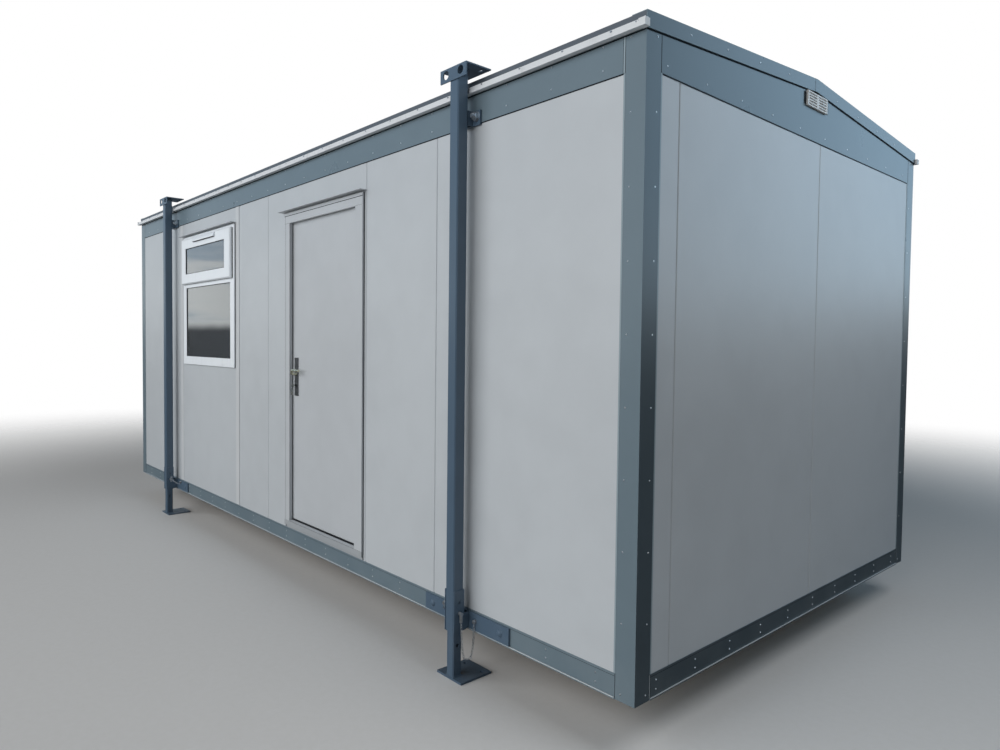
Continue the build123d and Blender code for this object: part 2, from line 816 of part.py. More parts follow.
with BuildPart() as window_hood:
    hood_left = window_left - window_hood_far_overhang
    hood_right = window_right + window_hood_near_overhang
    hood(hood_left, hood_right, window_top + window_hood_gap, window_hood_reach)
save(window_hood.part, "window_hood")

# Jack legs: square outer tubes, rounded at the corners, with a drilled lifting head on top
leg_x = from_near_end(leg_from_near_end)
leg_middle = (leg_x + from_far_end(leg_from_far_end)) / 2
leg_back = front - leg_standoff
leg_y = leg_back - leg_size / 2
leg_front = leg_back - leg_size
leg_bottom = rail_bottom + leg_lift
head_level_top = eave_level + head_above_eave
head_front = leg_front - head_steel
pin_level = rail_bottom + pin_height

with BuildPart() as leg_front_right:
    with BuildSketch(Plane.XY.offset(leg_bottom)):
        with Locations((leg_x, leg_y)):
            Rectangle(leg_size, leg_size)
            chamfer(vertices(), leg_corner)
            Rectangle(leg_size - 2 * leg_wall, leg_size - 2 * leg_wall, mode=Mode.SUBTRACT)
    extrude(amount=head_level_top - head_steel - leg_bottom)
    with BuildSketch(Plane.XY.offset(head_level_top)):
        with Locations((leg_x, head_front + head_depth / 2)):
            Rectangle(head_width, head_depth)
        with Locations((leg_x, head_front + head_depth - head_slot_from_back)):
            with GridLocations(lifting_hole_spacing, 0, 2, 1):
                Rectangle(head_slot_length, head_slot_width, mode=Mode.SUBTRACT)
    extrude(amount=-head_steel)
    with BuildSketch(Plane.XZ.offset(-head_front)):
        with Locations((leg_x, head_level_top - head_drop / 2)):
            Rectangle(head_width, head_drop)
        with Locations((leg_x, head_level_top - lifting_hole_below_top)):
            with GridLocations(lifting_hole_spacing, 0, 2, 1):
                Circle(lifting_hole_radius, mode=Mode.SUBTRACT)
    extrude(amount=-head_steel)
    with BuildSketch(Plane.YZ.offset(leg_x)):
        with Locations((leg_y, pin_level)):
            Circle(pin_hole_radius)
    extrude(amount=leg_size, both=True, mode=Mode.SUBTRACT)
save(leg_front_right.part, "leg_front_right")

with BuildPart() as leg_front_left:
    mirror(leg_front_right.part, about=Plane.YZ.offset(leg_middle))
save(leg_front_left.part, "leg_front_left")

with BuildPart() as leg_rear_right:
    mirror(leg_front_right.part, about=Plane.XZ)
save(leg_rear_right.part, "leg_rear_right")

with BuildPart() as leg_rear_left:
    mirror(leg_rear_right.part, about=Plane.YZ.offset(leg_middle))
save(leg_rear_left.part, "leg_rear_left")

# Inner legs, sliding in the outer tubes, with a foot plate that runs back under the cabin
inner_leg_size = leg_size - 2 * leg_wall - 2 * leg_play
inner_leg_top = rail_bottom + inner_leg_overlap
foot_front = leg_y - inner_leg_size / 2 - foot_front_margin
with BuildPart() as leg_feet:
    with BuildSketch(Plane.XY):
        with Locations((leg_x, foot_front + foot_depth / 2)):
            Rectangle(foot_width, foot_depth)
        with Locations((leg_x, foot_front + foot_depth - foot_hole_from_back)):
            with GridLocations(foot_hole_spacing, 0, 2, 1):
                Circle(foot_hole_radius, mode=Mode.SUBTRACT)
    extrude(amount=foot_steel)
    with BuildSketch(Plane.XY.offset(foot_steel)):
        with Locations((leg_x, leg_y)):
            Rectangle(inner_leg_size, inner_leg_size)
            chamfer(vertices(), leg_corner)
            Rectangle(inner_leg_size - 2 * leg_wall, inner_leg_size - 2 * leg_wall, mode=Mode.SUBTRACT)
    extrude(amount=inner_leg_top - foot_steel)
    with BuildSketch(Plane.YZ.offset(leg_x)):
        with Locations((leg_y, pin_level), (leg_y, pin_level - pin_hole_steps * pin_hole_pitch)):
            Circle(pin_hole_radius)
    extrude(amount=leg_size, both=True, mode=Mode.SUBTRACT)
    mirror(about=Plane.YZ.offset(leg_middle))
    mirror(about=Plane.XZ)
save(leg_feet.part, "leg_feet")

# Top brackets: a plate bolted to the top rail and a box spacer behind the leg
spacer_low = head_level - top_bracket_below_head
with BuildPart() as leg_top_brackets:
    with BuildSketch(Plane.XZ.offset(-front)):
        with Locations((leg_x, spacer_low + top_bracket_height / 2)):
            Rectangle(top_bracket_width, top_bracket_height)
    extrude(amount=bracket_steel)
    with BuildSketch(Plane.XY.offset(spacer_low)):
        with Locations((leg_x, front - leg_standoff / 2)):
            Rectangle(top_spacer_width, leg_standoff)
    extrude(amount=top_bracket_height)
    with BuildSketch(Plane.XY.offset(spacer_low)):
        with Locations((leg_x, front - (leg_standoff + bracket_steel) / 2)):
            Rectangle(top_spacer_width - 2 * spacer_wall, leg_standoff - bracket_steel - 2 * spacer_wall)
    extrude(amount=top_bracket_height, mode=Mode.SUBTRACT)
    mirror(about=Plane.YZ.offset(leg_middle))
    mirror(about=Plane.XZ)
save(leg_top_brackets.part, "leg_top_brackets")

# Base brackets: a long plate on the bottom rail and two cheeks that hold the leg between them
plate_low = rail_bottom + base_bracket_lift + rail_lip_height
plate_high = rail_bottom + base_bracket_lift + base_bracket_height
cheek_top = leg_bottom + cheek_height
with BuildPart() as leg_base_brackets:
    with BuildSketch(Plane.XZ.offset(-front)):
        with Locations((leg_x, (plate_low + plate_high) / 2)):
            Rectangle(base_bracket_width, plate_high - plate_low)
    extrude(amount=bracket_steel)
    with BuildSketch(Plane.YZ.offset(leg_x)) as cheek_profile:
        with BuildLine():
            Polyline(
                (front - bracket_steel, plate_low),
                (leg_front, leg_bottom),
                (leg_front, cheek_top),
                (leg_back, cheek_top),
                (leg_back, plate_high),
                (front - bracket_steel, plate_high),
                close=True,
            )
        make_face()
        fillet(vertices().sort_by(Axis.Y)[:2].sort_by(Axis.Z)[-1], cheek_corner_radius)
        with Locations((leg_y, pin_level), (leg_y, pin_level + pin_hole_pitch)):
            Circle(pin_hole_radius, mode=Mode.SUBTRACT)
    extrude(amount=leg_size / 2 + cheek_steel, both=True)
    with BuildSketch(Plane.YZ.offset(leg_x)):
        with Locations(((leg_front + front - bracket_steel) / 2, (leg_bottom + cheek_top) / 2)):
            Rectangle(front - bracket_steel - leg_front, cheek_height)
    extrude(amount=leg_size / 2, both=True, mode=Mode.SUBTRACT)
    mirror(about=Plane.YZ.offset(leg_middle))
    mirror(about=Plane.XZ)
save(leg_base_brackets.part, "leg_base_brackets")

# Locking pins through the cheeks and both tubes
pin_half = leg_size / 2 + cheek_steel + pin_reach
with BuildPart() as leg_pins:
    with BuildSketch(Plane.YZ.offset(leg_x)):
        with Locations((leg_y, pin_level)):
            Circle(pin_radius)
    extrude(amount=pin_half, both=True)
    mirror(about=Plane.YZ.offset(leg_middle))
    mirror(about=Plane.XZ)
save(leg_pins.part, "leg_pins")
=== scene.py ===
"""Looks of the portable site cabin, in the order in which the cabin is put together."""
import math

import bmesh
import bpy
from mathutils import Matrix, Vector


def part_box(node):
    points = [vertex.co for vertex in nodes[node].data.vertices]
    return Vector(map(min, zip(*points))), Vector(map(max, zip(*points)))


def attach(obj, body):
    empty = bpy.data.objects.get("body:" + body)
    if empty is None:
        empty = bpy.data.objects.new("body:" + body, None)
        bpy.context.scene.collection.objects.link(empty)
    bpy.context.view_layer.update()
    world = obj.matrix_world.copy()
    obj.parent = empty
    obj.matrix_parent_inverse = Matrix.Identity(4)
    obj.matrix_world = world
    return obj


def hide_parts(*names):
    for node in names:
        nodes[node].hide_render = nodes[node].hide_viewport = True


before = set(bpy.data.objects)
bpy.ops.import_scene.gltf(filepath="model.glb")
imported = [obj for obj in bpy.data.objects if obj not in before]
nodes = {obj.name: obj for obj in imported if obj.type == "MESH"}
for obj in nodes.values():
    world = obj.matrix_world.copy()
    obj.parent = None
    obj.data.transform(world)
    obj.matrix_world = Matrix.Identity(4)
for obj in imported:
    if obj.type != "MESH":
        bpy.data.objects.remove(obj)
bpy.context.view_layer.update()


# Viewpoint: standing height off the corner between the door side and the visible gable, with the
# wide lens of the photograph. The shift is the small offset of its optical centre.
viewpoint = bpy.data.objects.new("viewpoint", bpy.data.cameras.new("viewpoint"))
viewpoint.data.sensor_width = 36.0
viewpoint.data.lens = 25.4
viewpoint.data.shift_x = 0.0045
viewpoint.data.shift_y = -0.0075
viewpoint.location = (4.600, -3.4773, 1.5622)
viewpoint.rotation_euler = [math.radians(turn) for turn in (87.967, -0.632, 48.044)]
bpy.context.scene.collection.objects.link(viewpoint)
bpy.context.scene.camera = viewpoint
bpy.context.scene.view_settings.view_transform = "Standard"


# Studio: soft overcast daylight, strongest on the door side, a bright sky over a dark horizon for
# gloss and glass to reflect, and a pale floor that keeps the shadow under the cabin.
class Link:
    """One output in a node tree: sums on it add Math nodes, and node() adds any other node."""

    def __init__(self, tree, socket=None):
        self.tree = tree
        self.socket = socket

    def node(self, kind, settings, values, output=0):
        """Add a node with its settings, then its inputs by name or place, and return one of its outputs."""
        made = self.tree.nodes.new(kind)
        for name, setting in settings.items():
            setattr(made, name, setting)
        sockets = [socket for socket in made.inputs if socket.enabled]
        for key, value in values.items():
            socket = sockets[key] if isinstance(key, int) else made.inputs[key]
            if isinstance(value, Link):
                self.tree.links.new(value.socket, socket)
            else:
                socket.default_value = value
        outputs = [socket for socket in made.outputs if socket.enabled]
        if not outputs:
            return None
        return Link(self.tree, outputs[output] if isinstance(output, int) else made.outputs[output])

    def math(self, operation, first, second=0.0):
        return self.node("ShaderNodeMath", {"operation": operation}, {0: first, 1: second})

    def __add__(self, other):
        return self.math("ADD", self, other)

    def __radd__(self, other):
        return self.math("ADD", other, self)

    def __sub__(self, other):
        return self.math("SUBTRACT", self, other)

    def __rsub__(self, other):
        return self.math("SUBTRACT", other, self)

    def __mul__(self, other):
        return self.math("MULTIPLY", self, other)

    def __rmul__(self, other):
        return self.math("MULTIPLY", other, self)

    def fade(self, low, high):
        """This value taken from low to high as a smooth 0 to 1."""
        settings = {"interpolation_type": "SMOOTHSTEP"}
        return self.node("ShaderNodeMapRange", settings, {"Value": self, "From Min": low, "From Max": high})

    def tint(self, first, second):
        """Mix two colours, with this value as the share of the second."""
        return self.node("ShaderNodeMix", {"data_type": "RGBA"}, {0: self, 1: first, 2: second})


def new_tree(owner):
    """Give a material or world an empty node tree and return a Link into it."""
    owner.use_nodes = True
    owner.node_tree.nodes.clear()
    return Link(owner.node_tree)


surround = bpy.data.worlds.new("surround")
sky = new_tree(surround)
toward = sky.node("ShaderNodeTexCoord", {}, {}, "Generated")
rise = sky.node("ShaderNodeSeparateXYZ", {}, {"Vector": toward}, "Z")
flat_clouds = (1.0, 1.0, 9.0)
stretched = sky.node("ShaderNodeVectorMath", {"operation": "MULTIPLY"}, {0: toward, 1: flat_clouds})
billows = sky.node("ShaderNodeTexNoise", {}, {"Vector": stretched, "Scale": 5.0, "Detail": 5.0})
cloud = billows.fade(0.40, 0.62)
low_sky = cloud.tint((0.56, 0.67, 0.76, 1.0), (0.95, 1.0, 1.0, 1.0))
high_sky = cloud.tint((0.28, 0.43, 0.60, 1.0), (0.38, 0.52, 0.68, 1.0))
middle_sky = rise.fade(0.06, 0.24).tint(low_sky, high_sky)
open_sky = rise.fade(0.45, 0.75).tint(middle_sky, (0.92, 0.96, 1.0, 1.0))
reflected_sky = rise.fade(0.010, 0.024).tint((0.050, 0.056, 0.062, 1.0), open_sky)
ambient = sky.node("ShaderNodeBackground", {}, {"Color": (0.90, 0.95, 1.0, 1.0), "Strength": 0.05})
reflected = sky.node("ShaderNodeBackground", {}, {"Color": reflected_sky, "Strength": 1.0})
backdrop = sky.node("ShaderNodeBackground", {}, {"Color": (1.0, 1.0, 1.0, 1.0), "Strength": 1.0})
glossy = sky.node("ShaderNodeLightPath", {}, {}, "Is Glossy Ray")
direct = sky.node("ShaderNodeLightPath", {}, {}, "Is Camera Ray")
through = sky.node("ShaderNodeLightPath", {}, {}, "Is Transmission Ray")
lit = sky.node("ShaderNodeMixShader", {}, {0: glossy, 1: ambient, 2: reflected})
seen = sky.node("ShaderNodeMixShader", {}, {0: direct.math("MAXIMUM", direct, through), 1: lit, 2: backdrop})
sky.node("ShaderNodeOutputWorld", {}, {"Surface": seen})
bpy.context.scene.world = surround


def softbox(name, place, target, size, watts, colour):
    """Hang a large square lamp at a place, turned towards a target."""
    lamp = bpy.data.lights.new(name, "AREA")
    lamp.shape = "SQUARE"
    lamp.size = size
    lamp.energy = watts
    lamp.color = colour
    holder = bpy.data.objects.new(name, lamp)
    holder.location = place
    holder.rotation_euler = (Vector(target) - Vector(place)).to_track_quat("-Z", "Y").to_euler()
    bpy.context.scene.collection.objects.link(holder)
    return holder


daylight = (0.985, 0.995, 1.0)
front_sky = softbox("front_sky", (-6.0, -16.5, 7.5), (0.0, -1.4, 1.2), 17.0, 2260.0, daylight)
corner_sky = softbox("corner_sky", (4.8, -15.0, 6.0), (3.0, -1.4, 1.3), 9.0, 690.0, daylight)
gable_fill = softbox("gable_fill", (5.6, -0.3, 5.6), (3.0, 0.0, 2.3), 2.6, 84.0, (1.0, 0.99, 0.98))
for matt_lamp in (front_sky, corner_sky, gable_fill):
    matt_lamp.visible_glossy = False
softbox("gable_sky", (8.0, 10.0, 5.8), (3.0, 0.0, 2.4), 7.0, 265.0, (0.50, 0.77, 1.0))

floor_radius = 17.0
floor_fades_from, floor_fades_to = 4.5, 13.0
floor_bmesh = bmesh.new()
bmesh.ops.create_circle(floor_bmesh, cap_ends=True, segments=96, radius=floor_radius)
floor_mesh = bpy.data.meshes.new("studio_floor")
floor_bmesh.to_mesh(floor_mesh)
floor_bmesh.free()
studio_floor = bpy.data.objects.new("studio_floor", floor_mesh)
floor_material = bpy.data.materials.new("studio_floor")
floor = new_tree(floor_material)
floor_place = floor.node("ShaderNodeTexCoord", {}, {}, "Object")
from_centre = floor.node("ShaderNodeVectorMath", {"operation": "LENGTH"}, {0: floor_place}, "Value")
grain = floor.node("ShaderNodeTexNoise", {}, {"Vector": floor_place, "Scale": 30.0, "Detail": 6.0})
pale = grain.tint((0.64, 0.64, 0.63, 1.0), (0.68, 0.68, 0.68, 1.0))
mirrored = floor.node("ShaderNodeLightPath", {}, {}, "Is Glossy Ray")
shown = mirrored.tint(pale, (0.06, 0.06, 0.065, 1.0))
matt = floor.node("ShaderNodeBsdfPrincipled", {},
                  {"Base Color": shown, "Roughness": 0.9, "Specular IOR Level": 0.1})
clear = floor.node("ShaderNodeBsdfTransparent", {}, {"Color": (1.0, 1.0, 1.0, 1.0)})
faded = from_centre.fade(floor_fades_from, floor_fades_to)
laid = floor.node("ShaderNodeMixShader", {}, {0: faded, 1: matt, 2: clear})
floor.node("ShaderNodeOutputMaterial", {}, {"Surface": laid})
floor_mesh.materials.append(floor_material)
bpy.context.scene.collection.objects.link(studio_floor)


# Steel frame: bottom rails, corner posts, top rails, gable beams and verge cappings, folded from
# sheet that comes with a slate-blue coating, smooth and fairly glossy.
def shade_of(colour, share=1.0):
    """A colour with each part times the share, followed by its alpha."""
    return tuple(part * share for part in colour) + (1.0,)


def coated_sheet(name, colour, roughness, grain_size, grain_depth, dulling, gable_shade=1.0):
    """A factory-coated steel sheet: fine embossed grain, slight waviness, duller near the ground.

    The gable sides, the faces that look along X, are coloured at the gable_shade share of the colour: painted
    shade.
    """
    mottle = 0.035
    waviness = 0.002
    material = bpy.data.materials.new(name)
    link = new_tree(material)
    place = link.node("ShaderNodeTexCoord", {}, {}, "Object")
    height = link.node("ShaderNodeSeparateXYZ", {}, {"Vector": place}, "Z")
    broad = link.node("ShaderNodeTexNoise", {}, {"Vector": place, "Scale": 1.1, "Detail": 2.0})
    clouds = link.node("ShaderNodeTexNoise", {}, {"Vector": place, "Scale": 6.0, "Detail": 6.0})
    speckle = link.node("ShaderNodeTexNoise", {}, {"Vector": place, "Scale": grain_size, "Detail": 2.0})
    tone = (broad * 0.5 + clouds * 0.35 + speckle * 0.15).fade(0.35, 0.65)
    long_side_paint = tone.tint(shade_of(colour, 1.0 - mottle), shade_of(colour, 1.0 + mottle))
    gable_shaded_paint = tone.tint(shade_of(colour, (1.0 - mottle) * gable_shade), shade_of(colour, (1.0 + mottle) * gable_shade))
    surface = link.node("ShaderNodeNewGeometry", {}, {}, "Normal")
    along = link.node("ShaderNodeSeparateXYZ", {}, {"Vector": surface}, "X")
    # Painted shade: faces that look along X take the darker copy of the colour.
    paint_with_gable_shade = (along * along).fade(0.1, 0.6).tint(long_side_paint, gable_shaded_paint)
    film = (1.0 - height.fade(0.0, 0.6)) * clouds.fade(0.35, 0.75) * dulling
    filmed = film.tint(paint_with_gable_shade, (0.30, 0.31, 0.31, 1.0))
    rough = roughness + film * 0.30 + (clouds - 0.5) * 0.03
    relief = speckle * grain_depth + broad * waviness
    normal = link.node("ShaderNodeBump", {}, {"Strength": 0.6, "Distance": 1.0, "Height": relief}, "Normal")
    shader = link.node("ShaderNodeBsdfPrincipled", {},
                       {"Base Color": filmed, "Roughness": rough, "Normal": normal})
    link.node("ShaderNodeOutputMaterial", {}, {"Surface": shader})
    return material


def dress(names, material):
    """Put a material on CAD nodes, in place of their plain one."""
    for name in names:
        nodes[name].material_slots[0].material = material


# Painted shade: the trims' gable faces are coloured at 0.42 of their long sides' colour.
trim_coat = coated_sheet("trim_coat", (0.132, 0.178, 0.208), 0.28, 700.0, 0.00003, 0.12, 0.42)
dress(["front_bottom_rail", "rear_bottom_rail", "gable_bottom_rails", "corner_posts"], trim_coat)
dress(["front_top_rail", "rear_top_rail", "gable_beams", "verge_cappings"], trim_coat)


def make_piece(name, shape, material):
    """Turn a finished bmesh into an object at the origin, with its faces outward."""
    bmesh.ops.recalc_face_normals(shape, faces=shape.faces)
    mesh = bpy.data.meshes.new(name)
    shape.to_mesh(mesh)
    shape.free()
    mesh.materials.append(material)
    piece = bpy.data.objects.new(name, mesh)
    bpy.context.scene.collection.objects.link(piece)
    return piece


def add_bar(shape, corner, opposite, bevel=0.0, lean=0.0):
    """Add a bar between two opposite corners to a bmesh, with its edges broken.

    A lean drops it by that share of its distance from Y = 0.
    """
    spans = [sorted(span) for span in zip(corner, opposite)]
    sides = [high - low for low, high in spans]
    middle = [(low + high) / 2 for low, high in spans]
    place = Matrix.Translation(middle) @ Matrix.Diagonal((*sides, 1.0))
    made = bmesh.ops.create_cube(shape, size=1.0, matrix=place)
    for vertex in made["verts"]:
        vertex.co.z -= abs(vertex.co.y) * lean
    if bevel:
        edges = list({edge for vertex in made["verts"] for edge in vertex.link_edges})
        bmesh.ops.bevel(shape, geom=edges, offset=bevel, segments=2, profile=0.6, affect="EDGES")


def reflect(mesh, middle_x=0.0, over_x=False, over_y=False):
    """Copy a mesh, mirrored over the plane X = middle_x, over Y = 0, or both."""
    image = mesh.copy()
    sign_x = -1.0 if over_x else 1.0
    shift = Matrix.Translation((middle_x * (1.0 - sign_x), 0.0, 0.0))
    image.transform(shift @ Matrix.Diagonal((sign_x, -1.0 if over_y else 1.0, 1.0, 1.0)))
    return image


four_corners = ((False, False), (True, False), (False, True), (True, True))


def four_images(name, shape, material, middle_x=0.0):
    """Make one piece of a bmesh and its mirror images at the other three corners."""
    mesh = bpy.data.meshes.new(name)
    shape.to_mesh(mesh)
    shape.free()
    whole = bmesh.new()
    for over_x, over_y in four_corners:
        whole.from_mesh(reflect(mesh, middle_x, over_x, over_y))
    return make_piece(name, whole, material)


# Post returns: the narrow edges that the folded corner posts turn on to the panels and the top
# rails, a hair proud of them and parted from the post face by a fold line.
post_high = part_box("corner_posts")[1]
rail_low, rail_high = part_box("front_bottom_rail")
band_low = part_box("front_top_rail")[0]
gable_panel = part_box("right_gable_wall")[1]
panel_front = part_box("front_wall_right")[0].y
gutter_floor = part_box("gutters")[0].z
return_x = rail_high.x
return_y = gable_panel.y
return_width = 0.0090
return_edge = 0.0005
fold_line = 0.0013
over_panel = 0.0014
over_band = 0.0012
bedded = 0.0002
end_play = 0.0004
return_shape = bmesh.new()
add_bar(return_shape, (return_x - return_width, panel_front - over_panel, rail_high.z + end_play),
        (return_x - fold_line, panel_front + bedded, band_low.z - end_play), return_edge)
add_bar(return_shape, (return_x - return_width, band_low.y - over_band, band_low.z + bedded),
        (return_x - fold_line, band_low.y + bedded, gutter_floor - 0.001), return_edge)
add_bar(return_shape, (gable_panel.x - bedded, -return_y + fold_line, rail_high.z + end_play),
        (gable_panel.x + over_panel, -return_y + return_width, band_low.z - end_play), return_edge)
# Painted highlight: the returns are coloured paler than the posts, for the light line along the post's edge.
return_highlight_coat = coated_sheet("return_highlight_coat", (0.250, 0.310, 0.345), 0.28, 700.0, 0.00002, 0.1)
post_returns = four_images("post_returns", return_shape, return_highlight_coat)
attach(post_returns, "cabin")


# Rolled rail edges: the bottom rails' lips end in a tight roll, as do the upright folds at the rails'
# corners. They are part of the folded steel, coloured paler than the rails as a painted highlight, a thin
# bright line.
lip_height = 0.0070
lip_proud = 0.0030
lip_end = 0.002
roll_radius = 0.0020
roll_edge = 0.0011
corner_half = 0.0006
corner_end = 0.001
lip_top = rail_low.z + lip_height
roll_shape = bmesh.new()
for side in (-1, 1):
    long_y = side * (post_high.y + lip_proud)
    add_bar(roll_shape, (-rail_high.x + lip_end, long_y - roll_radius, lip_top - roll_radius),
            (rail_high.x - lip_end, long_y + roll_radius, lip_top + roll_radius), roll_edge)
    short_x = side * (post_high.x + lip_proud)
    add_bar(roll_shape, (short_x - roll_radius, -return_y + lip_end, lip_top - roll_radius),
            (short_x + roll_radius, return_y - lip_end, lip_top + roll_radius), roll_edge)
for side in (-1, 1):
    for end in (-1, 1):
        corner_x = end * (post_high.x + bedded)
        corner_y = side * (return_y + corner_half)
        add_bar(roll_shape, (corner_x - corner_half, corner_y - corner_half, rail_low.z + corner_end),
                (corner_x + corner_half, corner_y + corner_half, rail_high.z - corner_end), 0.0004)
# Painted highlight: the rolls are paler than the rails' own coat.
roll_highlight_coat = coated_sheet("roll_highlight_coat", (0.480, 0.520, 0.545), 0.25, 700.0, 0.00002, 0.1)
rolled_rail_edges = make_piece("rolled_rail_edges", roll_shape, roll_highlight_coat)
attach(rolled_rail_edges, "cabin")


# Floor and roof timber: sawn joists under a board deck, and sawn trusses over the ceiling's white
# sheets, with the grain along each.
def sawn_timber(name, along, pale_wood, dark_wood):
    """Sawn softwood or board, with growth rings stretched along one axis."""
    material = bpy.data.materials.new(name)
    link = new_tree(material)
    place = link.node("ShaderNodeTexCoord", {}, {}, "Object")
    drawn = link.node("ShaderNodeVectorMath", {"operation": "MULTIPLY"}, {0: place, 1: along})
    rings = link.node("ShaderNodeTexNoise", {},
                      {"Vector": drawn, "Scale": 30.0, "Detail": 6.0, "Distortion": 0.6})
    fibres = link.node("ShaderNodeTexNoise", {}, {"Vector": drawn, "Scale": 160.0, "Detail": 3.0})
    wood = (rings * 0.7 + fibres * 0.3).fade(0.35, 0.65).tint(dark_wood, pale_wood)
    normal = link.node("ShaderNodeBump", {}, {"Strength": 0.4, "Distance": 0.001, "Height": fibres}, "Normal")
    shader = link.node("ShaderNodeBsdfPrincipled", {},
                       {"Base Color": wood, "Roughness": 0.75, "Normal": normal})
    link.node("ShaderNodeOutputMaterial", {}, {"Surface": shader})
    return material


along_joists, along_deck = (1.0, 0.05, 1.0), (0.08, 1.0, 1.0)
joist_timber = sawn_timber("joist_timber", along_joists, (0.60, 0.45, 0.28, 1.0), (0.42, 0.29, 0.16, 1.0))
dress(["floor_joists", "roof_trusses"], joist_timber)
deck_board = sawn_timber("deck_board", along_deck, (0.47, 0.36, 0.24, 1.0), (0.36, 0.26, 0.16, 1.0))
dress(["floor_deck"], deck_board)
ceiling_sheet = coated_sheet("ceiling_sheet", (0.74, 0.74, 0.72), 0.6, 500.0, 0.00004, 0.0)
dress(["ceiling"], ceiling_sheet)


# Wall panels: insulated panels with light grey steel skins, embossed so finely that the sheen shows
# as a soft haze. They stand on the bottom rails and meet in narrow chamfered joints.
panel_coat = coated_sheet("panel_coat", (0.465, 0.492, 0.515), 0.34, 900.0, 0.00005, 0.05)
dress(["front_wall_right", "front_wall_middle", "over_door_panel", "window_panel"], panel_coat)
dress(["front_wall_left", "rear_wall", "right_gable_wall", "left_gable_wall"], panel_coat)


# Cover strips: flat flashings over the studs on both sides of the window, with folded edges,
# pushed on to the panels between the bottom and the top rail.
strip_coat = coated_sheet("strip_coat", (0.530, 0.548, 0.565), 0.32, 900.0, 0.00005, 0.05)
wall_low, wall_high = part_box("window_panel")
strip_width = 0.063
strip_stand = 0.0016
strip_overlap = 0.050
strip_end = 0.001
strip_shape = bmesh.new()
for strip_left in (wall_high.x - strip_width, wall_low.x - strip_overlap):
    add_bar(strip_shape, (strip_left, wall_low.y - strip_stand, wall_low.z + strip_end),
            (strip_left + strip_width, wall_low.y - bedded, wall_high.z - strip_end), 0.0006)
cover_strips = make_piece("cover_strips", strip_shape, strip_coat)
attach(cover_strips, "cabin")


# Frame sealant: black strips in the open joints, under the top rails and the cappings, beside the posts, in
# the rails' upper fold and under the gutters; partly mastic, partly painted shade for the shadow gaps there.
def rubber(name, colour, roughness):
    """Black rubber or mastic, slightly uneven."""
    material = bpy.data.materials.new(name)
    link = new_tree(material)
    place = link.node("ShaderNodeTexCoord", {}, {}, "Object")
    lumps = link.node("ShaderNodeTexNoise", {}, {"Vector": place, "Scale": 90.0, "Detail": 4.0})
    shade = lumps.fade(0.3, 0.7).tint(shade_of(colour, 0.8), shade_of(colour))
    normal = link.node("ShaderNodeBump", {}, {"Strength": 0.4, "Distance": 0.001, "Height": lumps}, "Normal")
    shader = link.node("ShaderNodeBsdfPrincipled", {},
                       {"Base Color": shade, "Roughness": roughness + lumps * 0.15,
                        "Specular IOR Level": 0.18, "Normal": normal})
    link.node("ShaderNodeOutputMaterial", {}, {"Surface": shader})
    return material


# Painted shade: this black serves both as mastic and as the shade in the frame's gaps.
mastic_and_gap_shade = rubber("mastic_and_gap_shade", (0.010, 0.012, 0.015), 0.6)
seal_depth = 0.0024
seal_height = 0.0046
just_inside = 0.0001
groove_foot, groove_top = rail_high.z - 0.0105, rail_high.z - 0.0093
groove_proud, groove_end = 0.0003, 0.001
under_gutter_foot, under_gutter_top = gutter_floor - 0.0032, gutter_floor + 0.0008
under_gutter_proud, under_gutter_end = 0.0013, 0.002
sealant_and_shade_shape = bmesh.new()
for side in (-1, 1):
    inner_y, outer_y = side * (post_high.y - seal_depth), side * (post_high.y - just_inside)
    add_bar(sealant_and_shade_shape, (-return_x + return_width, inner_y, band_low.z - seal_height),
            (return_x - return_width, outer_y, band_low.z - just_inside))
    add_bar(sealant_and_shade_shape, (-return_x + groove_end, inner_y, groove_foot),
            (return_x - groove_end, side * (post_high.y + groove_proud), groove_top))
    add_bar(sealant_and_shade_shape, (-post_high.x + under_gutter_end, inner_y, under_gutter_foot),
            (post_high.x - under_gutter_end, side * (post_high.y + under_gutter_proud), under_gutter_top),
            0.0004)
    inner_x, outer_x = side * (post_high.x - seal_depth), side * (post_high.x - just_inside)
    add_bar(sealant_and_shade_shape, (inner_x, -return_y + return_width, band_low.z - seal_height),
            (outer_x, return_y - return_width, band_low.z - just_inside))
    add_bar(sealant_and_shade_shape, (inner_x, -return_y + groove_end, groove_foot),
            (side * (post_high.x + groove_proud), return_y - groove_end, groove_top))

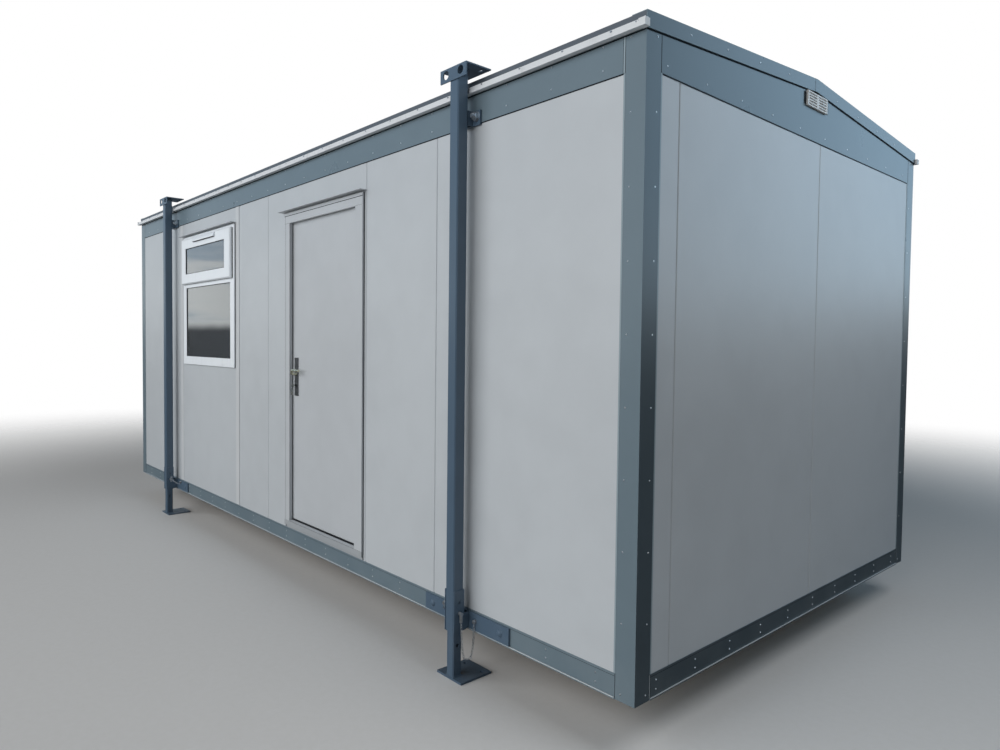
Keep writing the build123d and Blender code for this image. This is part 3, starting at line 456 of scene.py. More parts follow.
capping_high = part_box("verge_cappings")[1]
ridge_rise, half_width = 0.102, 1.3715
capping_fall = ridge_rise / half_width
capping_edge = capping_high.z - 0.0650
capping_foot = capping_edge - 0.0985
capping_seal_width = 0.0026
beside_post_width, beside_post_depth = 0.0022, 0.002
rail_foot = rail_low.z + 0.001
gutter_seal = gutter_floor - 0.002
front_joints = ((rail_foot, rail_high.z, 0.0034), (rail_high.z, band_low.z, 0.0006),
                (band_low.z, gutter_seal, 0.0028))
gable_joints = ((rail_foot, rail_high.z, 0.0036), (rail_high.z, band_low.z, 0.0018),
                (band_low.z, capping_foot, 0.0034))
for side in (-1, 1):
    for end in (-1, 1):
        face_x = end * post_high.x
        add_bar(sealant_and_shade_shape, (face_x, 0.0, capping_edge - 0.0014),
                (face_x + end * capping_seal_width, side * (post_high.y - 0.0005), capping_edge + 0.0010),
                0.0, capping_fall)
        edge_x, edge_y = end * (return_x - return_width - bedded), side * (post_high.y + 0.0004)
        add_bar(sealant_and_shade_shape, (edge_x, edge_y, band_low.z),
                (edge_x - end * beside_post_width, edge_y - side * beside_post_depth, gutter_seal))
        joint_y = post_high.y - seal_depth
        for foot, top, depth in front_joints:
            add_bar(sealant_and_shade_shape, (end * (return_x - fold_line), side * joint_y, foot),
                    (end * return_x, side * (joint_y + depth), top))
        joint_x = post_high.x - 0.0030
        for foot, top, depth in gable_joints:
            add_bar(sealant_and_shade_shape, (end * joint_x, side * (return_y - fold_line * 2.2), foot),
                    (end * (joint_x + depth), side * return_y, top))
frame_sealant_and_shade = make_piece("frame_sealant_and_shade", sealant_and_shade_shape, mastic_and_gap_shade)
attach(frame_sealant_and_shade, "cabin")


# Ridge joints: the two cappings of a gable lap at the ridge, under a narrow folded joint, and a
# flat lap closes the lower end of each on top.
joint_width, joint_drop = 0.0240, 0.0620
joint_sunk, joint_proud, joint_below_top = 0.0004, 0.0008, 0.0012
lap_from, lap_to = 0.0020, 0.0500
lap_y = 1.3690
ridge_shape = bmesh.new()
for end in (-1, 1):
    face_x = end * capping_high.x
    add_bar(ridge_shape, (face_x - end * joint_sunk, -joint_width, capping_high.z - joint_drop),
            (face_x + end * joint_proud, 0.0, capping_high.z - joint_below_top), 0.0003, capping_fall)
    for side in (-1, 1):
        add_bar(ridge_shape, (face_x - end * lap_to, side * lap_y, capping_high.z - 0.0008),
                (face_x - end * lap_from, side * (capping_high.y - 0.0004), capping_high.z - 0.0001),
                0.0002, capping_fall)
ridge_joints = make_piece("ridge_joints", ridge_shape, trim_coat)
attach(ridge_joints, "cabin")


# Roof: dark coated steel sheets over insulation, in two slopes that meet at the ridge. Their folded
# edge shows above the gutters.
roof_sheet = coated_sheet("roof_sheet", (0.085, 0.100, 0.118), 0.45, 500.0, 0.0001, 0.0)
dress(["roof_front_slope", "roof_rear_slope"], roof_sheet)


# Gutters: pale plastic channels, clipped under the roof edge along both long sides and closed with
# thicker end stops.
def moulded_plastic(name, colour, roughness, soiling):
    """Moulded plastic with a faint cloudiness, and a grey film where rain leaves it."""
    material = bpy.data.materials.new(name)
    link = new_tree(material)
    place = link.node("ShaderNodeTexCoord", {}, {}, "Object")
    drawn = link.node("ShaderNodeVectorMath", {"operation": "MULTIPLY"}, {0: place, 1: (1.0, 1.0, 0.15)})
    runs = link.node("ShaderNodeTexNoise", {}, {"Vector": drawn, "Scale": 18.0, "Detail": 5.0})
    fine = link.node("ShaderNodeTexNoise", {}, {"Vector": place, "Scale": 300.0, "Detail": 3.0})
    grime = (runs.fade(0.52, 0.80) * soiling).tint(shade_of(colour), (0.36, 0.36, 0.36, 1.0))
    rough = roughness + runs * 0.10
    normal = link.node("ShaderNodeBump", {}, {"Strength": 0.25, "Distance": 0.0005, "Height": fine}, "Normal")
    shader = link.node("ShaderNodeBsdfPrincipled", {},
                       {"Base Color": grime, "Roughness": rough, "Normal": normal})
    link.node("ShaderNodeOutputMaterial", {}, {"Surface": shader})
    return material


gutter_plastic = moulded_plastic("gutter_plastic", (0.66, 0.68, 0.70), 0.35, 0.35)
dress(["gutters"], gutter_plastic)


# Gable vents: white moulded plastic plates with two columns of louvres, screwed to the gable below
# each end of the ridge.
vent_plastic = moulded_plastic("vent_plastic", (0.66, 0.67, 0.67), 0.4, 0.2)
dress(["gable_vents"], vent_plastic)


# Small fasteners: round-headed screws and domed bolts in straight rows. Each head sits on a thin
# washer; the screws are zinc-plated, and the larger bolts are painted with what they hold.
def new_grower(name, inputs):
    """Start a Geometry Nodes tree with named inputs, and return it with a Link to each input."""
    tree = bpy.data.node_groups.new(name, "GeometryNodeTree")
    tree.interface.new_socket("Geometry", in_out="OUTPUT", socket_type="NodeSocketGeometry")
    for title, kind in inputs:
        tree.interface.new_socket(title, in_out="INPUT", socket_type="NodeSocket" + kind)
    given = tree.nodes.new("NodeGroupInput")
    return tree, {socket.name: Link(tree, socket) for socket in given.outputs}


def join_growth(tree, parts):
    """Join several geometries in a tree."""
    joined = tree.nodes.new("GeometryNodeJoinGeometry")
    for part in parts:
        tree.links.new(part.socket, joined.inputs[0])
    return Link(tree, joined.outputs[0])


def end_growth(link, shape, material):
    """Realize what a tree has placed, give it its material and pass it out."""
    real = link.node("GeometryNodeRealizeInstances", {}, {"Geometry": shape})
    coated = link.node("GeometryNodeSetMaterial", {}, {"Geometry": real, "Material": material})
    out = link.tree.nodes.new("NodeGroupOutput")
    link.tree.links.new(coated.socket, out.inputs[0])


def grow(tree, base_mesh, values):
    """Run a Geometry Nodes tree on a mesh with named inputs, and return the plain mesh that it makes."""
    grower = bpy.data.objects.new("grower", base_mesh)
    bpy.context.scene.collection.objects.link(grower)
    modifier = grower.modifiers.new("grow", "NODES")
    modifier.node_group = tree
    for item in tree.interface.items_tree:
        if item.in_out == "INPUT" and item.name in values:
            modifier[item.identifier] = values[item.name]
    grower.update_tag()
    depsgraph = bpy.context.evaluated_depsgraph_get()
    made = bpy.data.meshes.new_from_object(grower.evaluated_get(depsgraph), depsgraph=depsgraph)
    grower.modifiers.remove(modifier)
    bpy.data.objects.remove(grower)
    return made


def join_meshes(name, meshes, material):
    """Put several meshes in one object at the origin."""
    shape = bmesh.new()
    for mesh in meshes:
        shape.from_mesh(mesh)
    return make_piece(name, shape, material)


fastener_row, asked = new_grower("fastener_row", (
    ("Start", "Vector"), ("Step", "Vector"), ("Count", "Int"), ("Turn", "Vector"), ("Head Radius", "Float"),
    ("Head Height", "Float"), ("Washer Radius", "Float"), ("Washer Height", "Float"), ("Sides", "Int"),
    ("Seed", "Int"), ("Material", "Material")))
thread = Link(fastener_row)
fastener_line = thread.node("GeometryNodeMeshLine", {"mode": "OFFSET"},
                            {"Count": asked["Count"], "Start Location": asked["Start"],
                             "Offset": asked["Step"]})
washer = thread.node("GeometryNodeMeshCone", {},
                     {"Vertices": asked["Sides"], "Radius Top": asked["Washer Radius"] * 0.90,
                      "Radius Bottom": asked["Washer Radius"], "Depth": asked["Washer Height"]})
dome_ball = thread.node("GeometryNodeMeshUVSphere", {},
                        {"Segments": asked["Sides"], "Rings": 6, "Radius": 1.0})
dome_size = thread.node("ShaderNodeCombineXYZ", {}, {"X": asked["Head Radius"], "Y": asked["Head Radius"],
                                                     "Z": asked["Head Height"]})
dome = thread.node("GeometryNodeTransform", {}, {"Geometry": dome_ball, "Scale": dome_size})
fastener = join_growth(fastener_row, (washer, dome))
head_turn = thread.node("FunctionNodeRandomValue", {"data_type": "FLOAT"},
                        {0: 0.0, 1: 6.283, "Seed": asked["Seed"]})
set_out = thread.node("GeometryNodeInstanceOnPoints", {},
                      {"Points": fastener_line, "Instance": fastener, "Rotation": asked["Turn"]})
spin = thread.node("ShaderNodeCombineXYZ", {}, {"Z": head_turn})
spun = thread.node("GeometryNodeRotateInstances", {}, {"Instances": set_out, "Rotation": spin})
end_growth(thread, spun, asked["Material"])

facing_front = (math.pi / 2, 0.0, 0.0)
facing_gable = (0.0, math.pi / 2, 0.0)


def fasteners(start, step, count, turn, head, washer_size, sides, material, seed):
    """One row of screws or bolts: head and washer_size are each a radius and a height."""
    return grow(fastener_row, bpy.data.meshes.new("row"),
                {"Start": start, "Step": step, "Count": count, "Turn": turn, "Head Radius": head[0],
                 "Head Height": head[1], "Washer Radius": washer_size[0], "Washer Height": washer_size[1],
                 "Sides": sides, "Seed": seed, "Material": material})


def plated_metal(name, colour, roughness, scratch):
    """Bare or plated metal, cloudy where the plating has dulled."""
    material = bpy.data.materials.new(name)
    link = new_tree(material)
    place = link.node("ShaderNodeTexCoord", {}, {}, "Object")
    clouds = link.node("ShaderNodeTexNoise", {}, {"Vector": place, "Scale": 60.0, "Detail": 4.0})
    fine = link.node("ShaderNodeTexNoise", {}, {"Vector": place, "Scale": 900.0, "Detail": 2.0})
    metal = clouds.fade(0.35, 0.7).tint(shade_of(colour, 0.72), shade_of(colour))
    rough = roughness + (clouds - 0.5) * 0.25
    normal = link.node("ShaderNodeBump", {},
                       {"Strength": scratch, "Distance": 0.0003, "Height": fine}, "Normal")
    shader = link.node("ShaderNodeBsdfPrincipled", {},
                       {"Base Color": metal, "Metallic": 0.85, "Roughness": rough, "Normal": normal})
    link.node("ShaderNodeOutputMaterial", {}, {"Surface": shader})
    return material


# Frame screws: self-drilling screws in rows at 265 to 271 mm, which hold the coated sections to
# the panels behind them, and the vents' own screws.
screw_zinc = plated_metal("screw_zinc", (0.90, 0.91, 0.92), 0.30, 0.1)
screw_head = (0.0027, 0.0024)
screw_washer = (0.0037, 0.0009)
screw_sides = 9
band_step = (-0.2690, 0.0, 0.0)
rail_step = (-0.2680, 0.0, 0.0)
gable_step = (0.0, 0.2697, 0.0)
post_step = (0.0, 0.0, 0.2709)
front_capping_step = (0.0, -0.2673, -0.2673 * capping_fall)
rear_capping_step = (0.0, 0.2650, -0.2650 * capping_fall)
first_on_band, first_on_rail, first_on_post = 2.849, 2.860, 0.242
first_on_gable_beam, first_on_gable_rail = -1.2396, -1.2386
post_screw_inset = 0.067
front_capping_first, rear_capping_first = 0.2950, 0.2240
front_capping_z = capping_high.z - 0.031 - front_capping_first * capping_fall
rear_capping_z = capping_high.z - 0.041 - rear_capping_first * capping_fall
to_rear, to_far_end = ((False, True),), ((True, False),)
to_both = to_rear + to_far_end + ((True, True),)
# Each row: its first screw, the step to the next, their number, the way they face and its images.
screw_rows = (
    ((first_on_band, -post_high.y, band_low.z + 0.1240), band_step, 22, facing_front, to_rear),
    ((first_on_band, -post_high.y, band_low.z + 0.0350), band_step, 22, facing_front, to_rear),
    ((first_on_rail, -post_high.y, rail_low.z + 0.0700), rail_step, 22, facing_front, to_rear),
    ((first_on_rail, -post_high.y, rail_low.z + 0.0340), rail_step, 22, facing_front, to_rear),
    ((post_high.x, first_on_gable_beam, band_low.z + 0.0330), gable_step, 10, facing_gable, to_far_end),
    ((post_high.x, first_on_gable_rail, rail_low.z + 0.0670), gable_step, 10, facing_gable, to_far_end),
    ((post_high.x, first_on_gable_rail, rail_low.z + 0.0310), gable_step, 10, facing_gable, to_far_end),
    ((post_high.x - post_screw_inset, -post_high.y, first_on_post), post_step, 10, facing_front, to_both),
    ((post_high.x, -post_high.y + post_screw_inset, first_on_post), post_step, 10, facing_gable, to_both),
    ((capping_high.x, -front_capping_first, front_capping_z), front_capping_step, 4, facing_gable,
     to_far_end),
    ((capping_high.x, rear_capping_first, rear_capping_z), rear_capping_step, 4, facing_gable, to_far_end))
screw_meshes = []
for number, (start, step, count, turn, images) in enumerate(screw_rows):
    row = fasteners(start, step, count, turn, screw_head, screw_washer, screw_sides, screw_zinc, number)
    screw_meshes.append(row)
    screw_meshes.extend(reflect(row, 0.0, over_x, over_y) for over_x, over_y in images)
vent_low, vent_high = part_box("gable_vents")
vent_screw_head, vent_screw_washer = (0.0022, 0.0016), (0.0028, 0.0006)
vent_screw_edge = 0.0045
vent_screw_step = 0.1005
for level in (vent_low.z + vent_screw_edge, vent_high.z - vent_screw_edge):
    row = fasteners((vent_high.x, -vent_screw_step, level), (0.0, vent_screw_step, 0.0), 3, facing_gable,
                    vent_screw_head, vent_screw_washer, screw_sides, screw_zinc, 40)
    screw_meshes.extend((row, reflect(row, 0.0, True, False)))
frame_screws = join_meshes("frame_screws", screw_meshes, screw_zinc)
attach(frame_screws, "cabin")


# Gutter clips: grey metal clips every 243 mm, and a pair at the near end, which hold the gutter's
# front edge to the roof sheet.
clip_row, clip_asked = new_grower("clip_row", (
    ("Start", "Vector"), ("Step", "Vector"), ("Count", "Int"), ("Size", "Vector"), ("Material", "Material")))
clip = Link(clip_row)
clip_line = clip.node("GeometryNodeMeshLine", {"mode": "OFFSET"},
                      {"Count": clip_asked["Count"], "Start Location": clip_asked["Start"],
                       "Offset": clip_asked["Step"]})
clip_body = clip.node("GeometryNodeMeshCube", {}, {"Size": clip_asked["Size"]})
clip_foot = clip.node("GeometryNodeTransform", {}, {"Geometry": clip_body, "Translation": (0.0, 0.0, -0.0012),
                                                    "Scale": (0.6, 1.3, 0.7)})
clips_set = clip.node("GeometryNodeInstanceOnPoints", {},
                      {"Points": clip_line, "Instance": join_growth(clip_row, (clip_body, clip_foot))})
end_growth(clip, clips_set, clip_asked["Material"])


def clips(start, step, count, size, material):
    """One row of clips, or of the wires of a gauze."""
    return grow(clip_row, bpy.data.meshes.new("row"),
                {"Start": start, "Step": step, "Count": count, "Size": size, "Material": material})


gutter_low, gutter_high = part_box("gutters")
clip_y = gutter_low.y + 0.0030
first_clip = (2.910, clip_y, gutter_high.z - 0.0065)
first_end_clip = (3.036, clip_y, gutter_high.z - 0.0060)
clip_step, end_clip_step = (-0.2430, 0.0, 0.0), (-0.0130, 0.0, 0.0)
clip_size, end_clip_size = (0.0090, 0.0034, 0.0042), (0.0050, 0.0034, 0.0042)
clip_metal = plated_metal("clip_metal", (0.42, 0.44, 0.47), 0.35, 0.3)
front_clips = [clips(first_clip, clip_step, 25, clip_size, clip_metal),
               clips(first_end_clip, end_clip_step, 2, end_clip_size, clip_metal)]
rear_clips = [reflect(row, 0.0, False, True) for row in front_clips]
gutter_clips = join_meshes("gutter_clips", front_clips + rear_clips, clip_metal)
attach(gutter_clips, "cabin")


# Vent gauze: fine black coated wire gauze, held behind the louvres by the vent's plate, which keeps insects
# out. Its black is also painted shade for the dark space behind the slots.
gauze_black = rubber("gauze_black", (0.012, 0.013, 0.015), 0.7)
gauze_pitch = 0.0040
gauze_wire = 0.0016
gauze_margin, gauze_trim = 0.006, 0.010
gauze_x = post_high.x + 0.0010
upright_wires = clips((gauze_x, vent_low.y + gauze_margin, (vent_low.z + vent_high.z) / 2),
                      (0.0, gauze_pitch, 0.0), 51,
                      (gauze_wire, gauze_wire, vent_high.z - vent_low.z - gauze_trim), gauze_black)
level_wires = clips((gauze_x, 0.0, vent_low.z + gauze_margin), (0.0, 0.0, gauze_pitch), 15,
                    (gauze_wire, vent_high.y - vent_low.y - gauze_trim, gauze_wire), gauze_black)
gauze_meshes = [upright_wires, level_wires]
gauze_meshes += [reflect(wires, 0.0, True) for wires in gauze_meshes]
vent_gauze = join_meshes("vent_gauze", gauze_meshes, gauze_black)
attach(vent_gauze, "cabin")


# Doorway: a steel frame in the panels' light grey with a sloping metal threshold on a packer, a flush leaf
# behind its stops, and a folded rain hood. Dark strips close the frame to the wall: mastic, and painted shade
# for the frame's shaded sides.
door_coat = coated_sheet("door_coat", (0.452, 0.474, 0.496), 0.36, 900.0, 0.00004, 0.08)
dress(["door_frame", "door_leaf", "door_hood"], door_coat)
threshold_metal = coated_sheet("threshold_metal", (0.330, 0.350, 0.368), 0.34, 700.0, 0.00006, 0.25)
dress(["door_threshold"], threshold_metal)
door_low, door_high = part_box("door_frame")
sill_low, sill_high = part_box("door_threshold")
bead_width = 0.0013
bead_front, bead_back = door_low.y + 0.0095, panel_front + 0.0005
door_mastic_and_shade_shape = bmesh.new()
for bead_x in (door_low.x - bead_width, door_high.x):
    add_bar(door_mastic_and_shade_shape, (bead_x, bead_front, sill_low.z + 0.003),
            (bead_x + bead_width, bead_back, door_high.z + 0.001), 0.0004)
add_bar(door_mastic_and_shade_shape, (door_low.x, bead_front, door_high.z),
        (door_high.x, bead_back, door_high.z + 0.0014), 0.0004)
# Painted shade: the dark strips beside and over the frame stand partly for the shade on its sides.
grey_mastic_and_shade = rubber("grey_mastic_and_shade", (0.055, 0.060, 0.066), 0.6)
door_mastic_and_shade = make_piece("door_mastic_and_shade", door_mastic_and_shade_shape, grey_mastic_and_shade)
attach(door_mastic_and_shade, "cabin")


# Door frame joints: hairline seams where the folded jambs, head and threshold of the frame meet,
# filled with mastic.
lock_jamb, hinge_jamb, head_face = 0.072, 0.079, 0.068
opening_left, opening_right = door_low.x + lock_jamb, door_high.x - hinge_jamb
opening_top = door_high.z - head_face
joint_half = 0.0004
joint_front, joint_back = door_low.y - 0.00025, door_low.y + 0.0005
joint_shape = bmesh.new()
for left, right, foot, top in (
        (door_low.x + 0.0135, door_low.x + 0.0150, door_low.z, door_high.z - 0.020),
        (door_low.x, opening_left, opening_top - joint_half, opening_top + joint_half),
        (door_low.x, door_high.x, door_high.z - 0.0216, door_high.z - 0.0178),
        (opening_right, door_high.x, opening_top - joint_half, opening_top + joint_half),
        (door_low.x, door_high.x, door_low.z - joint_half, door_low.z + joint_half)):
    add_bar(joint_shape, (left, joint_front, foot), (right, joint_back, top))
door_frame_joints = make_piece("door_frame_joints", joint_shape, mastic_and_gap_shade)
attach(door_frame_joints, "cabin")


# Seal carrier: a folded strip of the frame's steel behind the stops, on three sides, which holds
# the door seal.
leaf_low, leaf_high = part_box("door_leaf")
carrier_front, carrier_back = leaf_low.y - 0.0105, leaf_low.y - 0.0062
carrier_play = 0.0010
carrier_left, carrier_right = leaf_low.x + carrier_play, leaf_high.x - carrier_play
carrier_top = leaf_high.z - carrier_play
carrier_shape = bmesh.new()
for left, right in ((carrier_left, opening_left), (opening_right, carrier_right)):
    add_bar(carrier_shape, (left, carrier_front, sill_high.z), (right, carrier_back, carrier_top), 0.0003)
add_bar(carrier_shape, (carrier_left, carrier_front, opening_top),
        (carrier_right, carrier_back, carrier_top), 0.0003)
seal_carrier = make_piece("seal_carrier", carrier_shape, door_coat)
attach(seal_carrier, "cabin")


# Door seal: a black rubber strip on the carrier, a rubber wiper on the threshold and a small plug in
# its front. The closed leaf rests just off them.
seal_rubber_and_shade = rubber("seal_rubber_and_shade", (0.016, 0.017, 0.019), 0.5)
seal_front, seal_back = carrier_back - bedded, leaf_low.y - 0.0006
seal_play, seal_lip, seal_round = 0.0025, 0.0006, 0.0015
seal_left, seal_right = leaf_low.x + seal_play, leaf_high.x - seal_play
seal_top = leaf_high.z - seal_play
door_seal_shape = bmesh.new()
for left, right in ((seal_left, opening_left - seal_lip), (opening_right + seal_lip, seal_right)):
    add_bar(door_seal_shape, (left, seal_front, sill_high.z), (right, seal_back, seal_top), seal_round)
add_bar(door_seal_shape, (seal_left, seal_front, opening_top + seal_lip),
        (seal_right, seal_back, seal_top), seal_round)
add_bar(door_seal_shape, (seal_left, seal_front, sill_high.z - 0.001),
        (seal_right, seal_back, leaf_low.z - 0.0012), seal_round)
plug_left, plug_right = 0.640, 0.662
add_bar(door_seal_shape, (plug_left, sill_low.y + 0.0140, sill_high.z - 0.0085),
        (plug_right, sill_low.y + 0.0168, sill_high.z - 0.001), 0.0008)
door_seal = make_piece("door_seal", door_seal_shape, seal_rubber_and_shade)
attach(door_seal, "cabin")


# Door furniture: dark satin lock plates with a cylinder on both sides of the leaf, pale brass levers
# on their spindle, and zinc-plated lift-off hinges between the leaf and the frame.
plate_metal = plated_metal("plate_metal", (0.20, 0.205, 0.21), 0.34, 0.3)
dress(["door_lock"], plate_metal)
lever_metal = plated_metal("lever_metal", (0.88, 0.86, 0.66), 0.25, 0.2)
dress(["door_levers"], lever_metal)
hinge_zinc = plated_metal("hinge_zinc", (0.55, 0.56, 0.57), 0.4, 0.3)
dress(["hinge_frame_halves", "hinge_door_halves"], hinge_zinc)


# Keys: one steel key stands in the cylinder, and two more hang from its split ring. They are flat
# blades with bent wire bows, and go with the leaf.
def add_rod(shape, points, radius, sides=8, closed=False):
    """Sweep a round rod along points; an open one has its ends capped."""
    points = [Vector(point) for point in points]
    count = len(points)
    rings = []
    across = None
    for number, point in enumerate(points):
        before = points[number - 1] if number or closed else point
        after = points[(number + 1) % count] if number < count - 1 or closed else point
        ahead = (after - before).normalized()
        if across is None:
            across = ahead.orthogonal()
        across = (across - ahead * across.dot(ahead)).normalized()
        upward = ahead.cross(across)
        rings.append([shape.verts.new(point + (across * math.cos(turn) + upward * math.sin(turn)) * radius)
                      for turn in (math.tau * step / sides for step in range(sides))])
    pairs = list(zip(rings, rings[1:])) + ([(rings[-1], rings[0])] if closed else [])
    for one, other in pairs:
        for step in range(sides):
            after_step = (step + 1) % sides
            shape.faces.new((one[step], one[after_step], other[after_step], other[step]))
    if not closed:
        shape.faces.new(rings[0])
        shape.faces.new(rings[-1])


def ring_points(centre, radius, across, upward, steps=14):
    """Points round a circle in the plane of two directions."""
    return [Vector(centre) + (Vector(across) * math.cos(turn) + Vector(upward) * math.sin(turn)) * radius
            for turn in (math.tau * step / steps for step in range(steps))]


lock_low, lock_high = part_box("door_lock")
key_x = (lock_low.x + lock_high.x) / 2
key_y = lock_low.y
key_z = lock_low.z + 0.068
key_half = 0.0011
bow_wire, ring_wire = 0.0022, 0.0011
rearward, upward = (0.0, 1.0, 0.0), (0.0, 0.0, 1.0)
key_shape = bmesh.new()
add_bar(key_shape, (key_x - key_half, key_y - 0.0100, key_z - 0.0042),
        (key_x + key_half, key_y + 0.0040, key_z + 0.0042), 0.0004)
standing_bow = ring_points((key_x, key_y - 0.0175, key_z), 0.0085, rearward, upward)
add_rod(key_shape, standing_bow, bow_wire, 8, True)
split_ring = ring_points((key_x, key_y - 0.0230, key_z - 0.0130), 0.0110, (0.25, 0.97, 0.0), upward, 18)
add_rod(key_shape, split_ring, ring_wire, 6, True)
for lean, turn in ((0.006, 0.5), (-0.007, -0.35)):
    bow_centre = Vector((key_x + lean * 0.3, key_y - 0.0240, key_z - 0.0300))
    hanging_bow = ring_points(bow_centre, 0.0080, (math.sin(turn), math.cos(turn), 0.0), upward)
    add_rod(key_shape, hanging_bow, 0.0021, 8, True)
    blade_top = bow_centre + Vector((lean * 0.2, 0.0, -0.0085))
    for tooth in range(4):
        blade = blade_top + Vector((lean * 0.25 * tooth, 0.0, -0.0065 * tooth))
        half_tooth = Vector((key_half, 0.0035 - 0.0006 * (tooth % 2), 0.0040))
        add_bar(key_shape, blade - half_tooth, blade + half_tooth, 0.0003)
key_steel = plated_metal("key_steel", (0.42, 0.43, 0.40), 0.28, 0.3)
door_keys = make_piece("door_keys", key_shape, key_steel)
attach(door_keys, "leaf")


# Lever handles: pale brass grips whose necks are cranked upwards, one on each side of the leaf, on
# a square steel spindle. They stand in for the plain levers and turn with them.
def soften(points, reach):
    """Round the inner corners of a path, starting reach metres before each."""
    points = [Vector(point) for point in points]
    softened = [points[0]]
    for before, corner, after in zip(points, points[1:], points[2:]):
        start = corner + (before - corner).normalized() * reach
        end = corner + (after - corner).normalized() * reach
        for share in (0.0, 0.25, 0.5, 0.75, 1.0):
            softened.append(start.lerp(corner, share).lerp(corner.lerp(end, share), share))
    return softened + [points[-1]]


def add_turned(shape, centre, profile, sides, outward=-1.0):
    """Add a solid turned round an axis that points out of the front or rear: radius and distance pairs."""
    rings = []
    for radius, distance in profile:
        rings.append([shape.verts.new((centre[0] + radius * math.cos(turn), centre[1] + outward * distance,
                                       centre[2] + radius * math.sin(turn)))
                      for turn in (math.tau * (step + 0.5) / sides for step in range(sides))])
    for one, other in zip(rings, rings[1:]):
        for step in range(sides):
            after_step = (step + 1) % sides
            shape.faces.new((one[step], one[after_step], other[after_step], other[step]))
    shape.faces.new(rings[0])
    shape.faces.new(rings[-1])


lever_low, lever_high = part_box("door_levers")
spindle_x = lever_low.x + 0.0100
spindle_z = (lever_low.z + lever_high.z) / 2
spindle_half = 0.004
spindle_out = 0.012
plate_out = 0.0062
rose = ((0.0110, 0.0), (0.0110, 0.0030), (0.0098, 0.0040))
grip_radius, grip_bend = 0.0085, 0.0085
grip_z = spindle_z + 0.0260
lever_shape = bmesh.new()
add_bar(lever_shape, (spindle_x - spindle_half, leaf_low.y - spindle_out, spindle_z - spindle_half),
        (spindle_x + spindle_half, leaf_high.y + spindle_out, spindle_z + spindle_half), 0.0004)
for plate_y, tip_y in ((leaf_low.y - plate_out, lever_low.y), (leaf_high.y + plate_out, lever_high.y)):
    outward = 1.0 if tip_y > plate_y else -1.0
    grip_y = tip_y - outward * 0.0090
    add_turned(lever_shape, (spindle_x, plate_y, spindle_z), rose, 16, outward)
    cranked = [(spindle_x, plate_y, spindle_z), (spindle_x, grip_y, spindle_z + 0.004),
               (spindle_x + 0.004, grip_y, grip_z), (lever_high.x - 0.0095, grip_y, grip_z)]
    add_rod(lever_shape, soften(cranked, grip_bend), grip_radius, 14)
lever_handles = make_piece("lever_handles", lever_shape, lever_metal)
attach(lever_handles, "levers")
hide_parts("door_levers")


# Window: welded white plastic profiles with a fixed pane below and a top-hung sash above, each closed by a
# sealed unit of glass, tinted dark as painted shade for the dim room behind it, and a moulded trickle vent
# over a narrow slot.
window_plastic = moulded_plastic("window_plastic", (0.77, 0.81, 0.85), 0.25, 0.10)
dress(["window_frame", "window_sash", "trickle_vent"], window_plastic)
dress(["window_hood"], door_coat)
pane_material = bpy.data.materials.new("pane_glass")
pane = new_tree(pane_material)
pane_place = pane.node("ShaderNodeTexCoord", {}, {}, "Object")
pane_ripple = pane.node("ShaderNodeTexNoise", {}, {"Vector": pane_place, "Scale": 2.5, "Detail": 1.0})
pane_normal = pane.node("ShaderNodeBump", {},
                        {"Strength": 0.2, "Distance": 0.01, "Height": pane_ripple}, "Normal")
# Painted shade: the glass's dark base colour stands for the dark room seen through it.
pane_shader = pane.node("ShaderNodeBsdfPrincipled", {},
                        {"Base Color": (0.19, 0.21, 0.23, 1.0), "Roughness": 0.02, "IOR": 1.60,
                         "Specular IOR Level": 0.9, "Coat Weight": 1.0, "Coat Roughness": 0.02,
                         "Coat IOR": 2.1, "Transmission Weight": 1.0, "Normal": pane_normal})
pane.node("ShaderNodeOutputMaterial", {}, {"Surface": pane_shader})
dress(["window_panes"], pane_material)


# Outer glass: the thin outer sheet of each sealed unit, just in front of the glass of the pane,
# set in the frame below and in the sash above.
window_low, window_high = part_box("window_frame")
sash_low, sash_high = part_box("window_sash")
member_and_bead, lower_glass_foot, lower_glass_top = 0.074, 0.067, 0.650
sash_stile, sash_rail = 0.104, 0.082
lower_opening = ((window_low.x + member_and_bead, window_low.z + lower_glass_foot),
                 (window_high.x - member_and_bead, window_low.z + lower_glass_top))
sash_opening = ((sash_low.x + sash_stile, sash_low.z + sash_rail),
                (sash_high.x - sash_stile, sash_high.z - sash_rail))
openings = ((lower_opening, window_low.y), (sash_opening, sash_low.y))
glass_front, glass_back = 0.0065, 0.0105
glass_shape = bmesh.new()
for ((glass_left, glass_foot), (glass_right, glass_top)), face_y in openings:
    add_bar(glass_shape, (glass_left, face_y + glass_front, glass_foot),
            (glass_right, face_y + glass_back, glass_top))
outer_glass = make_piece("outer_glass", glass_shape, pane_material)
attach(outer_glass, "cabin")


# Window gaskets: black rubber round the glass; black rims round the sash and between frame and wall, partly
# gasket and partly painted shade for the shadow gaps; and a black bar under the trickle vent, painted shade
# for its slot.
def add_ring(shape, low, high, width, front, back, bevel):
    """Add four bars round the inside of an opening in the front wall, between two depths."""
    (low_x, low_z), (high_x, high_z) = low, high
    add_bar(shape, (low_x, front, low_z), (low_x + width, back, high_z), bevel)
    add_bar(shape, (high_x - width, front, low_z), (high_x, back, high_z), bevel)
    add_bar(shape, (low_x + width, front, low_z), (high_x - width, back, low_z + width), bevel)
    add_bar(shape, (low_x + width, front, high_z - width), (high_x - width, back, high_z), bevel)


